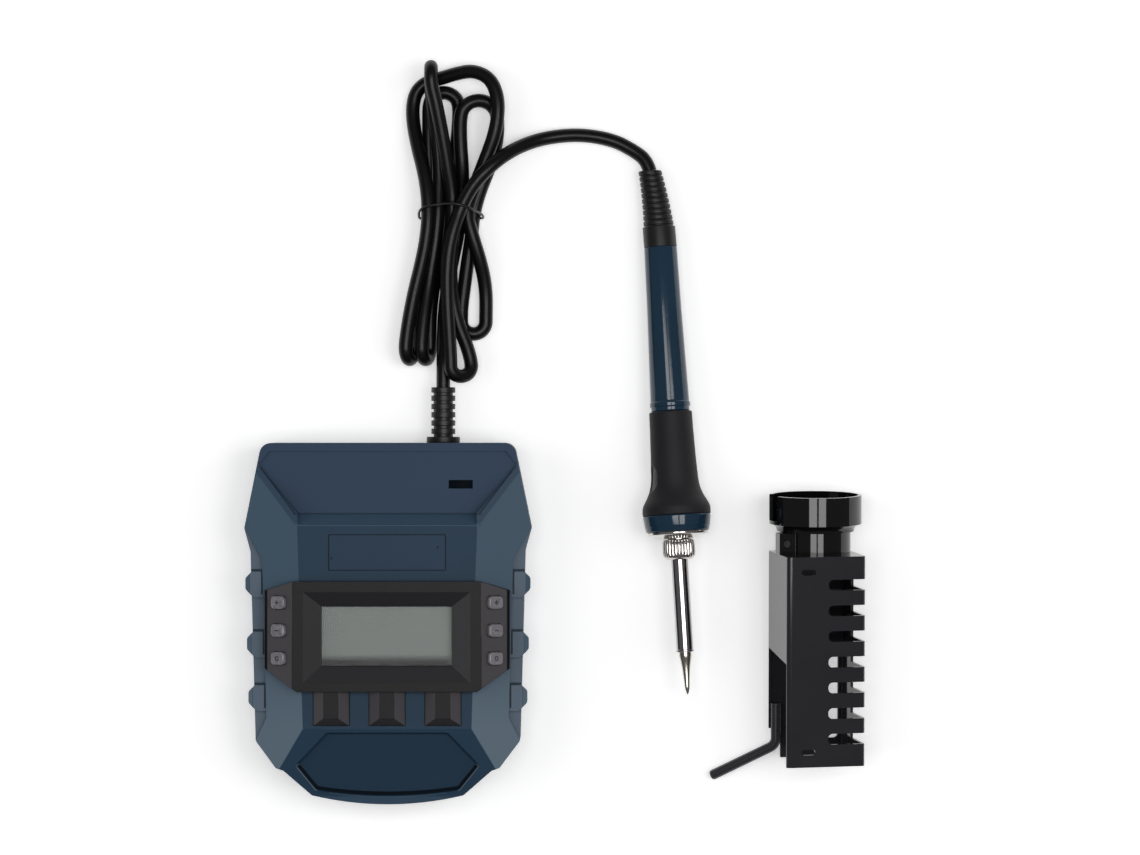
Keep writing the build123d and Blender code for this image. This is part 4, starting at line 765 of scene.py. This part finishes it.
# Grip, with an oval hollow in its left whose floor is darker
grip = eased([
    (104.8, 7.65), (104.8, 9.25, 0.7), (112.0, 9.35), (125.0, 9.75), (136.5, 10.35, 5.0), (141.0, 11.9, 3.0),
    (145.4, 14.55, 2.6), (148.0, 14.75, 1.2), (149.7, 14.62, 0.6), (149.7, 7.65),
], 8)
grip_bore_limit, grip_skin = 8.5, 9.0
hollow_at, hollow_turn = 133.7, radians(163)
hollow_reach, hollow_spread = 5.9, radians(25)
hollow_depth, hollow_edge = 0.95, 0.16
hollow_floor, hollow_floor_r = 0.85, 8.3


def grip_hollow(s, turn, radius):
    """Depth of the hollow at a place on the grip."""
    if radius < grip_bore_limit:
        return 0.0
    out = hypot((s - hollow_at) / hollow_reach, (turn - hollow_turn) / hollow_spread)
    return hollow_depth * min(1.0, max(0.0, (1.0 - out) / hollow_edge))


grip_piece = turned("grip", finer(grip + [grip[0]], 0.5), "iron_grip", grip_black, 144, dent=grip_hollow)
grip_piece.data.materials.append(dark_plastic)
for polygon in grip_piece.data.polygons:
    along = (polygon.center - iron_rear).dot(iron_dir) / MM
    across = (polygon.center - iron_rear).dot(iron_side)
    above = (polygon.center - iron_rear).dot(iron_up)
    if across < 0 and hypot(across, above) > hollow_floor_r * MM:
        if grip_hollow(along, atan2(above, across), grip_skin) > hollow_floor:
            polygon.material_index = 1

nipple = eased([
    (147.85, 3.3), (147.85, 5.15), (156.85, 5.15), (156.85, 13.1, 0.3), (158.1, 13.2, 0.6), (159.2, 9.2, 1.0),
    (159.8, 7.4, 0.4), (159.8, 5.5), (165.0, 5.5, 0.3), (165.0, 3.3),
])
turned("nipple", nipple + [nipple[0]], "iron_nipple", plated)
barrel = eased([
    (165.05, 3.13), (165.05, 5.2, 0.2), (165.95, 5.2, 0.2), (165.95, 3.68), (207.6, 3.68), (207.9, 3.9, 0.2),
    (208.7, 3.85, 0.3), (208.7, 2.8), (208.15, 2.8), (208.15, 3.13),
])
turned("barrel", barrel + [barrel[0]], "iron_barrel", polished)
tip = eased([
    (176.0, 2.0), (176.0, 3.05, 0.2), (176.9, 3.05, 0.2), (176.9, 2.75), (209.4, 2.75), (210.6, 2.7, 1.0),
    (214.0, 1.95, 2.5), (219.0, 1.4, 3.0), (224.2, 1.05, 1.0), (226.2, 0.55, 0.6), (227.0, 0.1), (205.0, 0.1),
    (205.0, 2.0),
])
turned("tip", tip + [tip[0]], "soldering_tip", tip_metal)

# Knurled nut: straight ridges round its middle, rounded ends
nut = [
    (160.1, 5.56), (160.1, 6.1), (160.3, 6.45), (160.8, 6.75), (161.4, 6.9), (163.5, 6.98), (165.5, 6.98),
    (166.8, 6.9), (167.6, 6.65), (168.3, 6.1), (168.75, 5.4), (168.9, 4.6), (168.9, 3.74), (166.3, 3.74),
    (166.3, 5.56),
]
nut_ridges = 26
knurl_start, knurl_end, knurl_depth = 160.7, 167.2, 0.42


def knurl(s, turn, radius):
    """Depth of the cuts between the ridges, at every point of the profile within their span."""
    depth = knurl_depth if knurl_start < s < knurl_end else 0.0
    return depth * max(0.0, cos(turn * nut_ridges)) ** 1.5


turned("knurled_nut", nut + [nut[0]], "barrel_nut", plated, nut_ridges * 6, angle=50, dent=knurl)

# Holder's rod: a round bar that leaves the box through its lower left and bends out to a rounded end
holder_pitch = radians(4.0)
holder_roll = radians(12.0)
holder_dir = Vector((0, cos(holder_pitch), sin(holder_pitch)))
holder_front = Vector((sin(holder_roll), -sin(holder_pitch) * cos(holder_roll), cos(holder_pitch) * cos(holder_roll)))
holder_right = holder_dir.cross(holder_front)
holder_origin = mm(183.8, -59.6, 20.166)
rod_r = 2.2
rod_sides = 40
rod_bend_r = 5.0
rod_left, rod_back = 14.35, 13.55
rod_start_up, rod_corner_up = 24.0, 6.0
rod_line = holder_origin - holder_right * rod_left * MM - holder_front * rod_back * MM
rod_top = rod_line + holder_dir * rod_start_up * MM
rod_corner = rod_line + holder_dir * rod_corner_up * MM
rod_end = mm(139.2, -67.0, 2.5)
to_top = (rod_top - rod_corner).normalized()
to_end = (rod_end - rod_corner).normalized()
half = to_top.angle(to_end) / 2
arc_middle = rod_corner + (to_top + to_end).normalized() * (rod_bend_r * MM / sin(half))
arc_reach = rod_bend_r * MM * cos(half) / sin(half)
arc_start = rod_corner + to_top * arc_reach - arc_middle
arc_end = rod_corner + to_end * arc_reach - arc_middle
arc_steps = 12
arc = [arc_start.slerp(arc_end, i / arc_steps).normalized() for i in range(arc_steps + 1)]
rod_path = [rod_top] + [arc_middle + outward * rod_bend_r * MM for outward in arc]
rod_radii = [rod_r * MM] * len(rod_path)
rod_tip = ((1.3, rod_r), (0.7, 2.1), (0.25, 1.8), (0.05, 1.45), (0.0, 1.1))
for short, radius in rod_tip:
    rod_path.append(rod_end - to_end * short * MM)
    rod_radii.append(radius * MM)
rod = tube("rod", rod_path, rod_radii, rod_sides, node_body["holder_rod"], 50)
dress(rod, rod_black)
stand_in("holder_rod")

# Floor, lights and world
floor_half = 6
floor_glow = 0.34
floor_corners = [(x * floor_half, y * floor_half, 0) for x, y in ((-1, -1), (1, -1), (1, 1), (-1, 1))]
floor_mesh = bpy.data.meshes.new("floor")
floor_mesh.from_pydata(floor_corners, [], [(0, 1, 2, 3)])
floor = add_object("floor", floor_mesh)
floor_white, floor_tree, floor_shader = new_material("floor_white", {
    "Base Color": (0.92, 0.92, 0.92, 1), "Roughness": 0.9, "Specular IOR Level": 0.1, "Emission Color": (1, 1, 1, 1),
})
rays = add_node(floor_tree, "LightPath").outputs
seen = rays["Is Camera Ray"]
for ray in ("Is Glossy Ray", "Is Transmission Ray"):
    seen = combined(floor_tree, "MAXIMUM", seen, rays[ray])
glow = add_node(floor_tree, "Math", {1: floor_glow}, "MULTIPLY")
floor_tree.links.new(seen, glow.inputs[0])
floor_tree.links.new(glow.outputs["Value"], floor_shader.inputs["Emission Strength"])
floor.data.materials.append(floor_white)


def lamp(name, place, aim, width, height, radiance, mirrored=True):
    """A rectangular lamp that faces a place; one that isn't mirrored doesn't show in glossy surfaces."""
    data = bpy.data.lights.new(name, "AREA")
    data.shape = "RECTANGLE"
    data.size = width
    data.size_y = height
    data.energy = radiance * pi * width * height
    item = add_object(name, data)
    item.location = place
    item.rotation_euler = (Vector(aim) - Vector(place)).to_track_quat("-Z", "Y").to_euler()
    item.visible_glossy = mirrored


middle = (0.08, 0.08, 0.02)
side_radiance = 1.25
over_radiance = 5.0
lamp("left_box", (-1.15, 0.08, 0.95), middle, 1.1, 1.6, side_radiance, mirrored=False)
lamp("right_box", (1.32, 0.08, 0.95), middle, 1.1, 1.6, side_radiance, mirrored=False)
lamp("over_left", (-0.02, 0.08, 1.35), (-0.02, 0.08, 0.0), 0.46, 0.6, over_radiance)
lamp("over_right", (0.535, 0.08, 1.35), (0.535, 0.08, 0.0), 0.45, 0.6, over_radiance)

world = bpy.data.worlds.new("studio")
world.use_nodes = True
set_inputs(world.node_tree.nodes["Background"], {"Color": (1, 1, 1, 1), "Strength": 0.13})
bpy.context.scene.world = world
bpy.context.scene.view_settings.view_transform = "Standard"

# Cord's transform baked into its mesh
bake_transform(cord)
